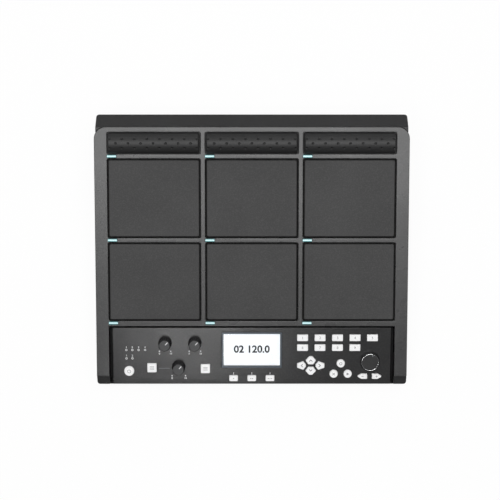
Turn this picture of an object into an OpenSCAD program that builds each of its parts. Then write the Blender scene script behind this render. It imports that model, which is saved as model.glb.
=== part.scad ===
// Electronic percussion pad: nine rubber playing surfaces on a wedge-shaped case, with a lower
// control panel at the front that holds a display, keys, knobs and a dial.
// Millimetres, +X right, +Y to the rear, +Z up. The origin is on the floor, under the middle.

/* [Playing field] */
// Width of a pad's cap
pad_w = 100.3; // [92:0.1:108]
// Depth of a pad's cap, along the deck
pad_d = 85.3; // [78:0.1:92]
// Gap between a pad and the edge of its opening
pad_gap = 1.75; // [1.2:0.05:2.2]
// Rise of a pad above the deck
pad_rise = 1; // [0.4:0.1:2]
// Corner radius of a pad, seen from above
pad_corner_r = 2; // [1.4:0.1:5]
// Rounding of a pad's top edge
pad_edge_r = 1.2; // [0.5:0.1:1.3]
// Width of the deck between two openings
web = 5; // [4.6:0.1:6]
// Length of a pad light
light_w = 10.2; // [6:0.1:16]
// Width of a pad light
light_d = 2.8; // [2:0.1:3.4]

/* [Trigger bars] */
// Radius of a trigger bar
bar_r = 11.6; // [10:0.1:14]
// Depth of a bar's axis below the deck
bar_axis_drop = 2; // [1:0.1:3]
// Gap between a bar and the long edges of its opening
bar_gap = 0.6; // [0.4:0.05:1.2]
// Gap at each end of a bar
bar_end_gap = 1.15; // [0.8:0.05:2]
// Rounding of a bar's ends
bar_edge_r = 2; // [1:0.1:3]
// Rubber thickness over a bar's core
bar_skin = 3; // [2.4:0.1:4]
// Radius of the dimples on a bar
dimple_r = 1.2; // [0.8:0.05:1.5]
// Spacing of the dimples along a bar
dimple_pitch = 13.8; // [11:0.1:14]
// Angle between two rows of dimples, seen from a bar's end
dimple_angle = 26.5; // [18:0.5:32]

/* [Body] */
// Height of the deck's rear edge above the floor
rear_h = 80; // [76:0.5:95]
// Slope of the deck, in degrees
deck_slope = 7.4; // [6.5:0.1:8]
// Thickness of the deck
deck_t = 3; // [2.6:0.1:4]
// Depth of the rim under the deck
rim_h = 10; // [8:0.5:11]
// Thickness of that rim
rim_t = 3; // [2.5:0.1:3.4]
// Width of the deck beside the pads
side_margin = 14.3; // [14.2:0.1:18]
// Length of the deck's front arms
arm_len = 57; // [54:0.5:64]
// Radius of the deck's rear corners
corner_r = 13; // [10:0.5:16]
// Wall of the case
wall = 3; // [2.4:0.1:3.2]
// Depth of the case's sloped rear, behind the deck
bevel_run = 15.2; // [10:0.1:20]
// Height of the case's sloped rear
bevel_drop = 14; // [9:0.1:18]
// Depth of the case's front noses, in front of the deck's arms
nose_run = 9.6; // [7:0.1:12]
// Height of the bevel on those noses
nose_drop = 8; // [5:0.1:9]
// How much the case narrows on each side towards the rear
rear_inset = 1.8; // [0.4:0.1:1.9]
// Radius of the case's upright corners
case_corner_r = 3; // [1:0.1:5]
// Height of the rubber feet
foot_h = 6; // [5:0.5:10]
// Radius of the rubber feet
foot_r = 10; // [7:0.5:13]
// Thickness of the base plate
base_t = 3; // [2:0.1:4]

/* [Control panel] */
// Slope of the panel, in degrees
panel_slope = 12; // [10:0.1:13]
// Depth of the panel's rear edge below the deck
panel_drop = 2.5; // [1.5:0.1:4]
// Gap between the deck and the panel's rear edge
panel_gap = 1.7; // [0.8:0.1:2.5]
// Width of the groove beside the panel
groove_w = 3.7; // [3:0.1:5]
// Thickness of the panel
panel_t = 2.5; // [2:0.1:3]
// Depth of the control board below the panel's face
board_drop = 10; // [9:0.1:11]
// Width of the lit display
display_w = 63.8; // [56:0.1:66]
// Depth of the lit display
display_d = 37.3; // [30:0.1:39]
// Distance of the display's middle from the panel's rear edge
display_v = 26.1; // [25.6:0.1:27]

/* [Keys] */
// Rise of the keys above the panel
key_rise = 1.5; // [1:0.1:2.5]
// Gap between a key and its hole
key_clear = 0.25; // [0.2:0.01:0.4]
// Travel of a key
key_travel = 0.9; // [0.5:0.05:1]
// Width of a menu key
menu_key_w = 12.2; // [9:0.1:14]
// Depth of a menu key
menu_key_d = 7.4; // [5:0.1:8]
// Spacing of the menu keys along a row
menu_pitch_x = 19.7; // [18:0.1:20]
// Spacing of the two rows of menu keys
menu_pitch_v = 11.5; // [10.5:0.1:12]
// Width of an arrow key, across its widest corners
arrow_key_w = 11.8; // [10:0.1:12.2]
// Depth of an arrow key, from its inner to its outer edge
arrow_key_d = 9; // [7:0.1:9.4]
// Radius of a round key
round_key_r = 4.5; // [3.5:0.1:5]
// Width of a square key
square_key_w = 10.4; // [8:0.1:12]
// Width of a function key
function_key_w = 9.6; // [7:0.1:12]
// Depth of a function key
function_key_d = 6.6; // [5:0.1:7]
// Width of a step key, from its nose to its flat end
step_key_w = 10.6; // [9:0.1:11]
// Depth of a step key
step_key_d = 6; // [5:0.1:6.6]
// Radius of the power key
power_key_r = 5.5; // [4:0.1:6]

/* [Knobs and dial] */
// Radius of a knob's skirt
knob_r = 7.6; // [6.5:0.1:8.5]
// Height of a knob above the panel
knob_h = 13; // [11:0.1:16]
// Radius of the dial
dial_r = 10.9; // [10:0.1:11.4]
// Height of the dial above the panel
dial_h = 8; // [7:0.1:10]
// Radius of the control shafts
shaft_r = 3; // [2.5:0.1:3.2]
// Running clearance of a shaft in its bush
shaft_clear = 0.05; // [0.03:0.01:0.08]

/* [Rear sockets] */
// Bore radius of a quarter-inch jack
jack_bore_r = 3.25; // [3.2:0.01:3.3]
// Spacing of the jacks
jack_pitch = 23; // [20:0.1:23.5]
// Depth of a jack's bore
jack_depth = 29; // [24:0.5:32]

/* [Stand mount] */
// Radius of the four tapped holes in the base
stand_hole_r = 2.5; // [2:0.1:4]
// Spacing of those holes, in both directions
stand_pitch = 75; // [60:1:100]

/* [Hidden] */
$fn = 48;
pad_columns = ["left", "middle", "right"];
pad_rows = ["rear", "front"];

// Fits and small gaps
fit = 0.2;
land = 0.7;
nudge = 0.01;
beyond = 20;

// Playing field, measured along the deck from its rear edge
flange_reach = (web - 1) / 2;
flange_t = 1.8;
pad_open_w = pad_w + 2 * pad_gap;
pad_open_d = pad_d + 2 * pad_gap;
pad_pitch_x = pad_open_w + web;
bar_open_d = 2 * (bar_r + bar_gap);
bar_l = pad_open_w - 2 * bar_end_gap;
field_w = 3 * pad_open_w + 2 * web;
rear_margin = rim_t + flange_reach + 0.5;
front_web = rim_t + flange_reach + 1.2;
bar_row = rear_margin + bar_open_d / 2;
rear_row = rear_margin + bar_open_d + web + pad_open_d / 2;
front_row = rear_row + pad_open_d + web;
notch_start = front_row + pad_open_d / 2 + front_web;
deck_len = notch_start + arm_len;
deck_w = field_w + 2 * side_margin;

// Layers under the deck, as heights along its normal
flange_top = -(deck_t + fit);
flange_bottom = flange_top - flange_t;
plate_t = 1.2;
plate_bottom = flange_bottom - plate_t;
foam_t = 6;
foam_bottom = plate_bottom - foam_t;
chassis_t = 1.2;
chassis_bottom = foam_bottom - chassis_t;
chassis_lip = 7;
piezo_r = 10;
piezo_t = 0.5;

// Case
base_top = foot_h + base_t;
half_d = (bevel_run + deck_len * cos(deck_slope) + nose_run) / 2;
deck_rear_y = half_d - bevel_run;
deck_front_y = deck_y(deck_len);
deck_front_z = deck_z(deck_len);
bevel_angle = atan2(bevel_drop - land, bevel_run);
boss_r = 3.2;
boss_clear = 0.4;
boss_x = deck_w / 2 - rear_inset - wall - boss_r - boss_clear;
boss_ends = [rear_margin + 12, 14];
boss_places = [for (i = [0:3])
    boss_ends[0] + i * (deck_len - boss_ends[0] - boss_ends[1]) / 3];
ledge_t = 4;
ledge_reach = 5;
base_inset = 0.8;
foot_inset = [40, 33];
foot_places = [for (sx = [-1, 1], sy = [-1, 1])
    [sx * (deck_w / 2 - foot_inset[0]), sy * (half_d - foot_inset[1])]];
foot_taper = 0.8;
foot_pin_r = 2.4;
foot_barb_r = 3.3;
foot_barb_tip_r = 2;
foot_barb_h = 2;
stand_recess = 0.3;
stand_places = [for (sx = [-1, 1], sy = [-1, 1]) [sx, sy] * stand_pitch / 2];

// Control panel, measured from its rear edge along its slope
notch_half = field_w / 2;
panel_half = notch_half - groove_w;
panel_rear_y = deck_y(notch_start) - panel_gap;
panel_rear_z = deck_z(notch_start) - panel_drop;
panel_len = (panel_rear_y + half_d) / cos(panel_slope);
skirt_h = 8.5;
rim_gap = 0.5;
groove_end_drop = 1;
panel_boss_inset = 6.5;
panel_boss_ends = [10, 20];
panel_boss_x = panel_half - panel_boss_inset;
panel_boss_places = [panel_boss_ends[0], panel_len - panel_boss_ends[1]];
base_screw_places = concat(
    [for (s = [-1, 1], along = boss_places) [s * boss_x, deck_y(along)]],
    [for (s = [-1, 1], along = panel_boss_places) [s * panel_boss_x, panel_y(along)]]);
board_t = 1.6;
board_half = panel_boss_x - boss_r - 1;
board_ends = [3.6, 3];
board_range = [board_ends[0], panel_len - board_ends[1]];
board_boss_r = 2.8;
board_boss_v = [10, 25, 28, 30, 33];
board_boss_front = 7.86;
board_boss_ends = [15, 31, 59, 17];
board_boss_gaps = [15.1, 11.6, 10.1];
board_boss_places = [
    [-panel_half + board_boss_ends[0], board_boss_v[0]],
    [-panel_half + board_boss_ends[1], board_boss_v[3]],
    [-panel_half + board_boss_ends[2], panel_len - board_boss_front],
    [-display_w / 2 - board_boss_gaps[0], board_boss_v[2]],
    [display_w / 2 + board_boss_gaps[1], board_boss_v[4]],
    [display_w / 2 + board_boss_gaps[2], panel_len - board_boss_front],
    [panel_half - board_boss_ends[3], board_boss_v[1]]];

// Display
display_frame = 0.8;
display_corner_r = 0.8;
lens_lip = 1.3;
lens_t = 1.2;
lens_drop = 0.1;
lens_corner_r = 1;
lens_w = display_w + 2 * (display_frame + lens_lip);
lens_d = display_d + 2 * (display_frame + lens_lip);
module_margin = 3.2;
module_w = display_w + 2 * module_margin;
module_d = display_d + 2 * module_margin;
carrier_t = 4.2;
module_t = 3.5;
module_top = -panel_t - fit;
module_bottom = module_top - module_t;

// Screws
screw_r = 1.45;
screw_head_r = 2.75;
screw_head_h = 2.2;
screw_hex_r = 1.3;
screw_hex_depth = 1.2;
screw_hole_r = 1.75;
screw_bite = 8;
board_screw_bite = 5;
main_screw_bite = 4;
pilot_r = 1.5;

// Knobs and dial: name, place across the panel, place from its rear edge
knob_ends = [59, 92.7, 74.2];
knob_v = 17.8;
knob_front = 20.26;
KNOBS = [
    ["knob_left", -panel_half + knob_ends[0], knob_v],
    ["knob_right", -panel_half + knob_ends[1], knob_v],
    ["knob_front", -panel_half + knob_ends[2], panel_len - knob_front]];
dial_end = 23.5;
dial_front = 27.46;
dial_place = [panel_half - dial_end, panel_len - dial_front];
rotary_places = concat([for (k = KNOBS) [k[1], k[2]]], [dial_place]);

// Keys: name, outline, place across the panel, place from its rear edge, whether it faces the other way
menu_end = 20.85;
menu_v = 11.6;
menu_x = panel_half - menu_end - 4 * menu_pitch_x;
menu_keys = [for (row = [0, 1], i = [0:4 - row])
    [str("menu_key_", row + 1, "_", i + 1), "menu",
     menu_x + i * menu_pitch_x, menu_v + row * menu_pitch_v, false]];
arrow_shift = 9.41;
arrow_front = 21.76;
arrow_x = menu_x + arrow_shift;
arrow_v = panel_len - arrow_front;
arrow_reach = [10.5, 6.15];
arrow_keys = [
    ["arrow_key_up", "arrow_up", arrow_x, arrow_v - arrow_reach[1], false],
    ["arrow_key_down", "arrow_up", arrow_x, arrow_v + arrow_reach[1], true],
    ["arrow_key_left", "arrow_left", arrow_x - arrow_reach[0], arrow_v, false],
    ["arrow_key_right", "arrow_left", arrow_x + arrow_reach[0], arrow_v, true]];
round_end = 56.25;
round_front = 12.06;
round_x = panel_half - round_end;
round_v = panel_len - round_front;
round_reach = [7.95, 12.2];
round_keys = [
    ["round_key_top", "round", round_x, round_v - round_reach[1], false],
    ["round_key_left", "round", round_x - round_reach[0], round_v, false],
    ["round_key_right", "round", round_x + round_reach[0], round_v, false]];
step_reach = 8.05;
step_front = 9.16;
step_v = panel_len - step_front;
step_keys = [
    ["step_key_left", "step", dial_place[0] - step_reach, step_v, false],
    ["step_key_right", "step", dial_place[0] + step_reach, step_v, true]];
function_pitch = 20.65;
function_v = panel_len - 6.86;
function_keys = [for (i = [-1:1])
    [str("function_key_", i + 2), "function", i * function_pitch, function_v, false]];
square_end = 44;
square_aside = 20.6;
square_front = [19.16, 18.16];
square_keys = [
    ["square_key_left", "square", -panel_half + square_end, panel_len - square_front[0], false],
    ["square_key_right", "square", -display_w / 2 - square_aside, panel_len - square_front[1], false]];
power_end = 18.1;
power_front = 15.36;
power_keys = [["power_key", "power", -panel_half + power_end, panel_len - power_front, false]];
KEYS = concat(menu_keys, arrow_keys, round_keys, step_keys, function_keys, square_keys, power_keys);
key_corner_r = 0.8;
key_flange = 0.9;
key_flange_t = 1;
key_flange_top = -panel_t - fit;
key_stem_r = 2;
key_stem_gap = 0.1;
mat_t = 1.6;
mat_clear = 0.4;
mat_margin = 3.6;
mat_groups = [concat(menu_keys, arrow_keys, round_keys, step_keys), function_keys,
    [square_keys[0]], [square_keys[1]], power_keys];

// Turning controls
rotary_w = 12;
rotary_top = -panel_t - 1.2;
bush_r = 4;
bush_top = 1;
bush_hole_r = bush_r + 0.3;
knob_bottom = 0.8;
knob_recess_top = bush_top + 0.7;
knob_skirt_h = 1.4;
knob_taper = 0.5;
knob_edge = 0.8;
knob_flutes = 18;
knob_flute_r = 0.8;
dial_flutes = 40;
dial_flute_r = 0.5;
shaft_cover = 2.5;
mark_depth = 0.4;
pointer_w = 0.9;
pointer_ends = [1.4, knob_r - 2.2];
pointer_turn = -42;
dial_mark_r = 0.7;
dial_mark_inset = 3;
dial_mark_turn = -19;
flat_depth = 1.5;

// Main board and rear sockets
board_stand = 5;
main_bottom = base_top + board_stand;
main_top = main_bottom + board_t;
plate_half = 134;
main_half = plate_half;
socket_back = half_d - wall - 2;
main_d = 68;
main_range = [socket_back - main_d, socket_back];
main_screw_inset = [10, 6];
main_screw_gap = 9;
jack_plate_t = 2;
jack_plate_h = 26;
window_lip = 3;
jack_count = 9;
jack_row_x = -20;
jack_w = 17;
jack_h = 16;
jack_l = 26;
jack_nose_r = 4.5;
jack_z = main_top + jack_h / 2;
jack_places = [for (i = [0:jack_count - 1]) jack_row_x + (i - (jack_count - 1) / 2) * jack_pitch];
main_screw_places = [
    for (sx = [-1:1], y = [main_range[0] + main_screw_inset[1], socket_back - jack_l - main_screw_gap])
        [sx * (main_half - main_screw_inset[0]), y]];
dc_end = 36;
dc_x = plate_half - dc_end;
dc_w = 10;
dc_l = 13;
dc_h = 11;
dc_z = main_top + dc_h - dc_w / 2;
dc_nose_r = 4;
dc_hole_r = 3.1;
dc_depth = 11;
dc_pin_r = 1;
dc_pin_drop = 2;
usb_end = 14;
usb_x = plate_half - usb_end;
usb_w = 9;
usb_h = 3.3;
usb_l = 6;
usb_wall = 0.35;
usb_depth = 7;
usb_tongue_w = 6.6;
usb_tongue_t = 0.7;
usb_tongue_drop = 1.5;
usb_z = main_top + usb_h / 2 + 0.05;

pad_names = [for (r = pad_rows, c = pad_columns) str("pad_", r, "_", c)];
bar_names = [for (c = pad_columns) str("bar_", c)];
key_names = [for (k = KEYS) k[0]];
knob_names = [for (k = KNOBS) k[0]];

// Places on the two slopes
function deck_y(along) = deck_rear_y - along * cos(deck_slope);
function deck_z(along) = rear_h - along * sin(deck_slope);
function panel_y(along) = panel_rear_y - along * cos(panel_slope);
function panel_z(along) = panel_rear_z - along * sin(panel_slope);
function column_x(i) = (i - 1) * pad_pitch_x;
function row_place(i) = i == 0 ? rear_row : front_row;
function light_row(i) = i == 0 ? rear_margin + bar_open_d + web / 2
    : i == 1 ? rear_row + pad_open_d / 2 + web / 2
    : front_row + pad_open_d / 2 + web / 2;

module on_deck(x = 0, along = 0, up = 0)
    translate([0, deck_rear_y, rear_h]) rotate([deck_slope, 0, 0]) translate([x, -along, up]) children();

module on_panel(x = 0, along = 0, up = 0)
    translate([0, panel_rear_y, panel_rear_z]) rotate([panel_slope, 0, 0])
        translate([x, -along, up]) children();

// A convex outline with round corners, grown evenly; points run anticlockwise
function unit(v) = v / norm(v);
function outward(a, b) = let (d = unit(b - a)) [d[1], -d[0]];
function rounded_outline(points, r, grow) = let (n = len(points)) [for (i = [0:n - 1])
    let (
        before = outward(points[(i + n - 1) % n], points[i]),
        after = outward(points[i], points[(i + 1) % n]),
        middle = points[i] - r * (before + after) / (1 + before * after),
        start = atan2(before[1], before[0]),
        turn = acos(min(1, before * after)),
        steps = 4)
    for (s = [0:steps])
        middle + (r + grow) * [cos(start + turn * s / steps), sin(start + turn * s / steps)]];
function box_points(w, d) = [[-w, -d], [w, -d], [w, d], [-w, d]] / 2;

// A rectangle with true round corners, about its middle
module rounded_box(w, d, r) {
    square([w - 2 * r, d], center = true);
    square([w, d - 2 * r], center = true);
    for (sx = [-1, 1], sy = [-1, 1])
        translate([sx * (w / 2 - r), sy * (d / 2 - r)]) circle(r);
}

// A plate of that outline between two heights
module slab(w, d, r, low, high)
    translate([0, 0, low]) linear_extrude(high - low) rounded_box(w, d, r);

// A box between two corners
module block(low, high)
    translate(low) cube(high - low);

// A profile of [y, z] points, drawn across the part
module across(width)
    rotate([90, 0, 90]) translate([0, 0, -width / 2]) linear_extrude(width) children();

// Deck seen square on, grown or shrunk evenly; the notch between the arms is open to the front
module deck_outline(grow) {
    half = deck_w / 2 + grow;
    r = corner_r + grow;
    difference() {
        union() {
            translate([-half, -deck_len - grow]) square([2 * half, deck_len + 2 * grow - r]);
            translate([-half + r, -r + grow - 1]) square([2 * (half - r), r + 1]);
            for (s = [-1, 1]) translate([s * (half - r), grow - r]) circle(r, $fn = 96);
        }
        translate([-notch_half + grow, -deck_len - beyond])
            square([2 * (notch_half - grow), deck_len + beyond - notch_start - grow]);
    }
}

module deck_layer(grow, low, high)
    on_deck() translate([0, 0, low]) linear_extrude(high - low) deck_outline(grow);

// Case seen from above: it narrows a little towards the rear
module case_plan(grow) {
    front = deck_w / 2 + grow;
    rear = front - rear_inset;
    deep = half_d + grow;
    polygon(rounded_outline([[-front, -deep], [front, -deep], [rear, deep], [-rear, deep]],
        case_corner_r, 0));
}

// Case seen from the side
module case_side()
    polygon([
        [-half_d, base_top], [half_d, base_top], [half_d, rear_h - bevel_drop],
        [deck_rear_y, rear_h - land], [deck_front_y, deck_front_z - land],
        [-half_d, deck_front_z - nose_drop]]);

// Hollow of the case, seen from the side: the wall follows the sloped rear
module case_hollow_side() {
    back = half_d - wall;
    knee = rear_h - bevel_drop - wall * (cos(bevel_angle) - (1 - sin(bevel_angle)) * tan(bevel_angle));
    top_y = deck_rear_y - rim_t - 2;
    polygon([
        [-half_d + wall, 0], [back, 0], [back, knee],
        [top_y, knee + (back - top_y) * tan(bevel_angle)],
        [top_y, 2 * rear_h], [-half_d + wall, 2 * rear_h]]);
}

module nose_blocks()
    for (s = [-1, 1])
        block([s > 0 ? notch_half - fit : -deck_w, -half_d - beyond, deck_front_z - nose_drop - 6],
            [s > 0 ? deck_w : -notch_half + fit, deck_front_y + nudge, rear_h]);

module case_walls()
    difference() {
        intersection() {
            linear_extrude(2 * rear_h) case_plan(0);
            across(2 * deck_w) case_side();
        }
        difference() {
            intersection() {
                linear_extrude(2 * rear_h) case_plan(-wall);
                across(2 * deck_w) case_hollow_side();
            }
            nose_blocks();
        }
    }

// Two shelves inside the case that carry the pad chassis
module chassis_ledges()
    intersection() {
        linear_extrude(2 * rear_h) case_plan(-wall / 2);
        for (s = [-1, 1])
            on_deck(s * (notch_half + beyond / 2 - ledge_reach), 0, chassis_bottom - ledge_t)
                translate([-beyond / 2, -front_row - pad_open_d / 2, 0])
                    cube([beyond, front_row + pad_open_d / 2 - rear_margin, ledge_t]);
    }

// Room that the panel takes out of the case's front wall
module panel_room() {
    side = notch_half - fit;
    inner = panel_half - panel_t - fit;
    on_panel() block([-inner, -panel_len - beyond, -panel_t], [inner, beyond / 4, beyond]);
    for (s = [-1, 1])
        on_panel() block([s > 0 ? inner - nudge : -side, -panel_len - beyond, -skirt_h],
            [s > 0 ? side : -inner + nudge, beyond / 4, beyond]);
}

module jack_window() {
    translate([-plate_half - fit, half_d - jack_plate_t, jack_z - jack_plate_h / 2 - fit])
        cube([2 * (plate_half + fit), beyond, jack_plate_h + 2 * fit]);
    translate([-plate_half + window_lip, half_d - beyond, jack_z - jack_plate_h / 2 + window_lip])
        cube([2 * (plate_half - window_lip), 2 * beyond, jack_plate_h - 2 * window_lip]);
}

module case_shell() color("#2b2c2e")
    difference() {
        union() {
            case_walls();
            chassis_ledges();
        }
        deck_layer(fit, -rim_h, beyond);
        panel_room();
        jack_window();
        for (s = [-1, 1], along = boss_places)
            translate([s * boss_x, deck_y(along), 0]) cylinder(h = 2 * rear_h, r = boss_r + boss_clear);
    }

// Upright bosses with a screw hole from below
module screw_boss(x, y, top)
    translate([x, y, base_top]) cylinder(h = top - base_top, r = boss_r);

module screw_pilot(x, y)
    translate([x, y, base_top - 1]) cylinder(h = screw_bite + 3, r = pilot_r);

module top_deck() color("#76787a")
    difference() {
        union() {
            deck_layer(0, -deck_t, 0);
            difference() {
                deck_layer(0, -rim_h, -deck_t / 2);
                deck_layer(-rim_t, -rim_h - 1, 0);
            }
            for (s = [-1, 1], along = boss_places)
                screw_boss(s * boss_x, deck_y(along), deck_z(along) - deck_t * 0.4);
        }
        for (s = [-1, 1], along = boss_places) screw_pilot(s * boss_x, deck_y(along));
        for (c = [0:2]) {
            on_deck(column_x(c), bar_row) slab(pad_open_w, bar_open_d, pad_corner_r, -deck_t - 1, 1);
            for (r = [0:1])
                on_deck(column_x(c), row_place(r))
                    slab(pad_open_w, pad_open_d, pad_corner_r, -deck_t - 1, 1);
        }
        for (c = [0:2], r = [0:2]) pad_light(c, r, fit / 2, 1);
    }

module pad_light(column, row, grow, top)
    on_deck(column_x(column) - (pad_open_w - light_w) / 2, light_row(row))
        slab(light_w + 2 * grow, light_d + 2 * grow, 0.5 + grow, -deck_t, top);

module pad_lights() color("#c9f4f7")
    for (c = [0:2], r = [0:2]) pad_light(c, r, 0, 0.1);

// Rubber pads: a cap with a rounded top edge, and a flange that the deck holds down
module pad(column, row) color("#505254")
    on_deck(column_x(column), row_place(row)) {
        pad_cap();
        slab(pad_open_w + 2 * flange_reach, pad_open_d + 2 * flange_reach, pad_corner_r,
            flange_bottom, flange_top);
    }

module pad_cap() {
    steps = 4;
    hull() {
        cap_slice(0, (flange_bottom + flange_top) / 2);
        for (i = [0:steps])
            cap_slice(pad_edge_r * (1 - cos(90 * i / steps)),
                pad_rise - nudge - pad_edge_r * (1 - sin(90 * i / steps)));
    }
}

module cap_slice(inset, up)
    translate([0, 0, up]) linear_extrude(nudge)
        polygon(rounded_outline(box_points(pad_w, pad_d), pad_corner_r, -inset));

// Trigger bars: rubber over a half-round core, with three staggered rows of dimples
module bar(column) color("#333436")
    difference() {
        union() {
            intersection() {
                on_deck(column_x(column), bar_row, -bar_axis_drop) bar_rod(bar_r, bar_l, bar_edge_r);
                on_deck(column_x(column), bar_row, flange_bottom)
                    translate([-pad_w, -pad_w / 2, 0]) cube([2 * pad_w, pad_w, 4 * bar_r]);
            }
            on_deck(column_x(column), bar_row)
                slab(pad_open_w + 2 * flange_reach, bar_open_d + 2 * flange_reach, pad_corner_r,
                    flange_bottom, flange_top);
        }
        on_deck(column_x(column), bar_row, -bar_axis_drop) {
            bar_rod(bar_r - bar_skin, bar_l - 2 * bar_skin, bar_edge_r);
            bar_dimples();
        }
    }

module bar_rod(r, l, edge)
    rotate([0, 90, 0]) rotate_extrude($fn = 96) {
        translate([0, -l / 2]) square([r - edge, l]);
        translate([0, -l / 2 + edge]) square([r, l - 2 * edge]);
        for (s = [-1, 1]) translate([r - edge, s * (l / 2 - edge)]) circle(edge);
    }

module bar_dimples()
    for (row = [-1:1], i = [0:row == 0 ? 6 : 7])
        rotate([row * dimple_angle, 0, 0])
            translate([(i - (row == 0 ? 3 : 3.5)) * dimple_pitch, 0, bar_r + dimple_r / 5])
                sphere(dimple_r);

module bar_cores() color("#8c8a80")
    for (c = [0:2]) {
        intersection() {
            on_deck(column_x(c), bar_row, -bar_axis_drop)
                bar_rod(bar_r - bar_skin - fit, bar_l - 2 * bar_skin - 2 * fit, bar_edge_r);
            on_deck(column_x(c), bar_row, flange_bottom - nudge)
                translate([-pad_w, -pad_w / 2, 0]) cube([2 * pad_w, pad_w, 4 * bar_r]);
        }
        on_deck(column_x(c), bar_row)
            slab(pad_open_w + 2 * flange_reach - 1, bar_open_d + 2 * flange_reach - 1, pad_corner_r,
                plate_bottom, flange_bottom);
    }

// Layers under the playing surfaces
module field_layer(shrink, low, high)
    for (c = [0:2]) {
        for (r = [0:1])
            on_deck(column_x(c), row_place(r))
                slab(pad_open_w + 2 * flange_reach - shrink, pad_open_d + 2 * flange_reach - shrink,
                    pad_corner_r, low, high);
    }

module pad_plates() color("#a9adb0") field_layer(1, plate_bottom, flange_bottom);

module pad_foams() color("#3a3a40")
    difference() {
        union() {
            field_layer(4, foam_bottom, plate_bottom);
            for (c = [0:2])
                on_deck(column_x(c), bar_row)
                    slab(pad_open_w, bar_open_d + flange_reach, pad_corner_r, foam_bottom, plate_bottom);
        }
        piezo_stack(piezo_r + 0.6, foam_bottom - 1, plate_bottom + 1);
    }

module piezo_stack(r, low, high)
    for (c = [0:2], along = [bar_row, rear_row, front_row])
        on_deck(column_x(c), along, low) cylinder(h = high - low, r = r);

module piezo_discs() color("#c8a24a")
    piezo_stack(piezo_r, plate_bottom - piezo_t, plate_bottom);

// Folded sheet under the foam, with a lip along its rear and front edges
module pad_chassis() color("#8f9396") {
    half = notch_half + flange_reach - 0.5;
    rear = rear_margin - flange_reach + 0.5;
    front = front_row + pad_open_d / 2 + flange_reach - 0.5;
    on_deck() block([-half, -front, chassis_bottom], [half, -rear, foam_bottom]);
    for (along = [rear, front - chassis_t])
        on_deck() block([-notch_half + 8, -along - chassis_t, chassis_bottom - chassis_lip],
            [notch_half - 8, -along, chassis_bottom + nudge]);
}

// Base
module base_plate() color("#303133")
    difference() {
        union() {
            translate([0, 0, foot_h]) linear_extrude(base_t) case_plan(-base_inset);
            for (p = main_screw_places)
                translate([p[0], p[1], base_top - nudge])
                    cylinder(h = board_stand + nudge, r = board_boss_r);
        }
        for (p = main_screw_places)
            translate([p[0], p[1], 0]) cylinder(h = main_top, r = pilot_r);
        for (p = stand_places) translate([p[0], p[1], 0]) {
            cylinder(h = base_top + 1, r = stand_hole_r);
            translate([0, 0, base_top - stand_recess]) cylinder(h = 1, r = 2 * stand_hole_r);
        }
        for (p = foot_places)
            translate([p[0], p[1], 0]) cylinder(h = 2 * base_top, r = foot_pin_r + fit);
        for (p = base_screw_places)
            translate([p[0], p[1], 0]) cylinder(h = 2 * base_top, r = screw_hole_r);
    }

module rubber_feet() color("#1d1d1f")
    for (p = foot_places) translate([p[0], p[1], 0]) {
        cylinder(h = foot_h, r1 = foot_r - foot_taper, r2 = foot_r);
        cylinder(h = base_top + fit + nudge, r = foot_pin_r);
        translate([0, 0, base_top + fit])
            cylinder(h = foot_barb_h, r1 = foot_barb_r, r2 = foot_barb_tip_r);
    }

// A round-headed screw that points up, with its head's seat at the origin
module screw(length)
    difference() {
        union() {
            translate([0, 0, -screw_head_h]) cylinder(h = screw_head_h, r = screw_head_r);
            translate([0, 0, -1]) cylinder(h = length + 1, r = screw_r);
        }
        translate([0, 0, -screw_head_h - 1]) cylinder(h = screw_hex_depth + 1, r = screw_hex_r, $fn = 6);
    }

module base_screws() color("#6f7276")
    for (p = base_screw_places) translate([p[0], p[1], foot_h]) screw(base_t + screw_bite);

module board_screws() color("#b9bcc0") {
    for (p = board_boss_places)
        on_panel(p[0], p[1], -board_drop - board_t) screw(board_t + board_screw_bite);
    for (p = main_screw_places)
        translate([p[0], p[1], main_top]) rotate([180, 0, 0]) screw(board_t + main_screw_bite);
}

// Control panel
module control_panel() color("#4a4c4e")
    difference() {
        union() {
            on_panel() {
                block([-panel_half, -panel_len, -panel_t], [panel_half, 0, 0]);
                block([-panel_half, -panel_t, -skirt_h], [panel_half, 0, -panel_t / 2]);
                for (s = [-1, 1]) panel_side(s);
            }
            for (p = board_boss_places)
                on_panel(p[0], p[1], -board_drop)
                    cylinder(h = board_drop - panel_t / 2, r = board_boss_r);
            for (s = [-1, 1], along = panel_boss_places)
                screw_boss(s * panel_boss_x, panel_y(along), panel_z(along) - panel_t * 0.44);
        }
        for (p = board_boss_places)
            on_panel(p[0], p[1], -board_drop - 1) cylinder(h = board_screw_bite + 2, r = pilot_r);
        for (s = [-1, 1], along = panel_boss_places) screw_pilot(s * panel_boss_x, panel_y(along));
        for (k = KEYS) key_prism(k, key_clear, -panel_t - 1, 1);
        for (p = rotary_places)
            on_panel(p[0], p[1], -panel_t - 1) cylinder(h = panel_t + 2, r = bush_hole_r);
        on_panel(0, display_v) {
            slab(display_w + 2 * display_frame, display_d + 2 * display_frame, display_corner_r,
                -panel_t - 1, 1);
            slab(lens_w + 2 * fit, lens_d + 2 * fit, lens_corner_r + fit, -lens_t - lens_drop, 1);
        }
    }

// Skirt and outer rim along one side of the panel, with a wall that closes the groove's front end
module panel_side(side) {
    edge = side * panel_half;
    inner = edge - side * panel_t;
    rim = side * (notch_half - rim_gap);
    block([min(edge, inner), -panel_len, -skirt_h], [max(edge, inner), 0, -panel_t / 2]);
    block([min(rim, inner), -panel_len, -skirt_h], [max(rim, inner), 0, -skirt_h + panel_t]);
    block([min(rim, inner), -panel_len, -skirt_h],
        [max(rim, inner), -panel_len + panel_t, -groove_end_drop]);
}

// Display
module display_window() color("#9fb0bb")
    on_panel(0, display_v) slab(lens_w, lens_d, lens_corner_r, -lens_t - lens_drop, -lens_drop);

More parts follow.
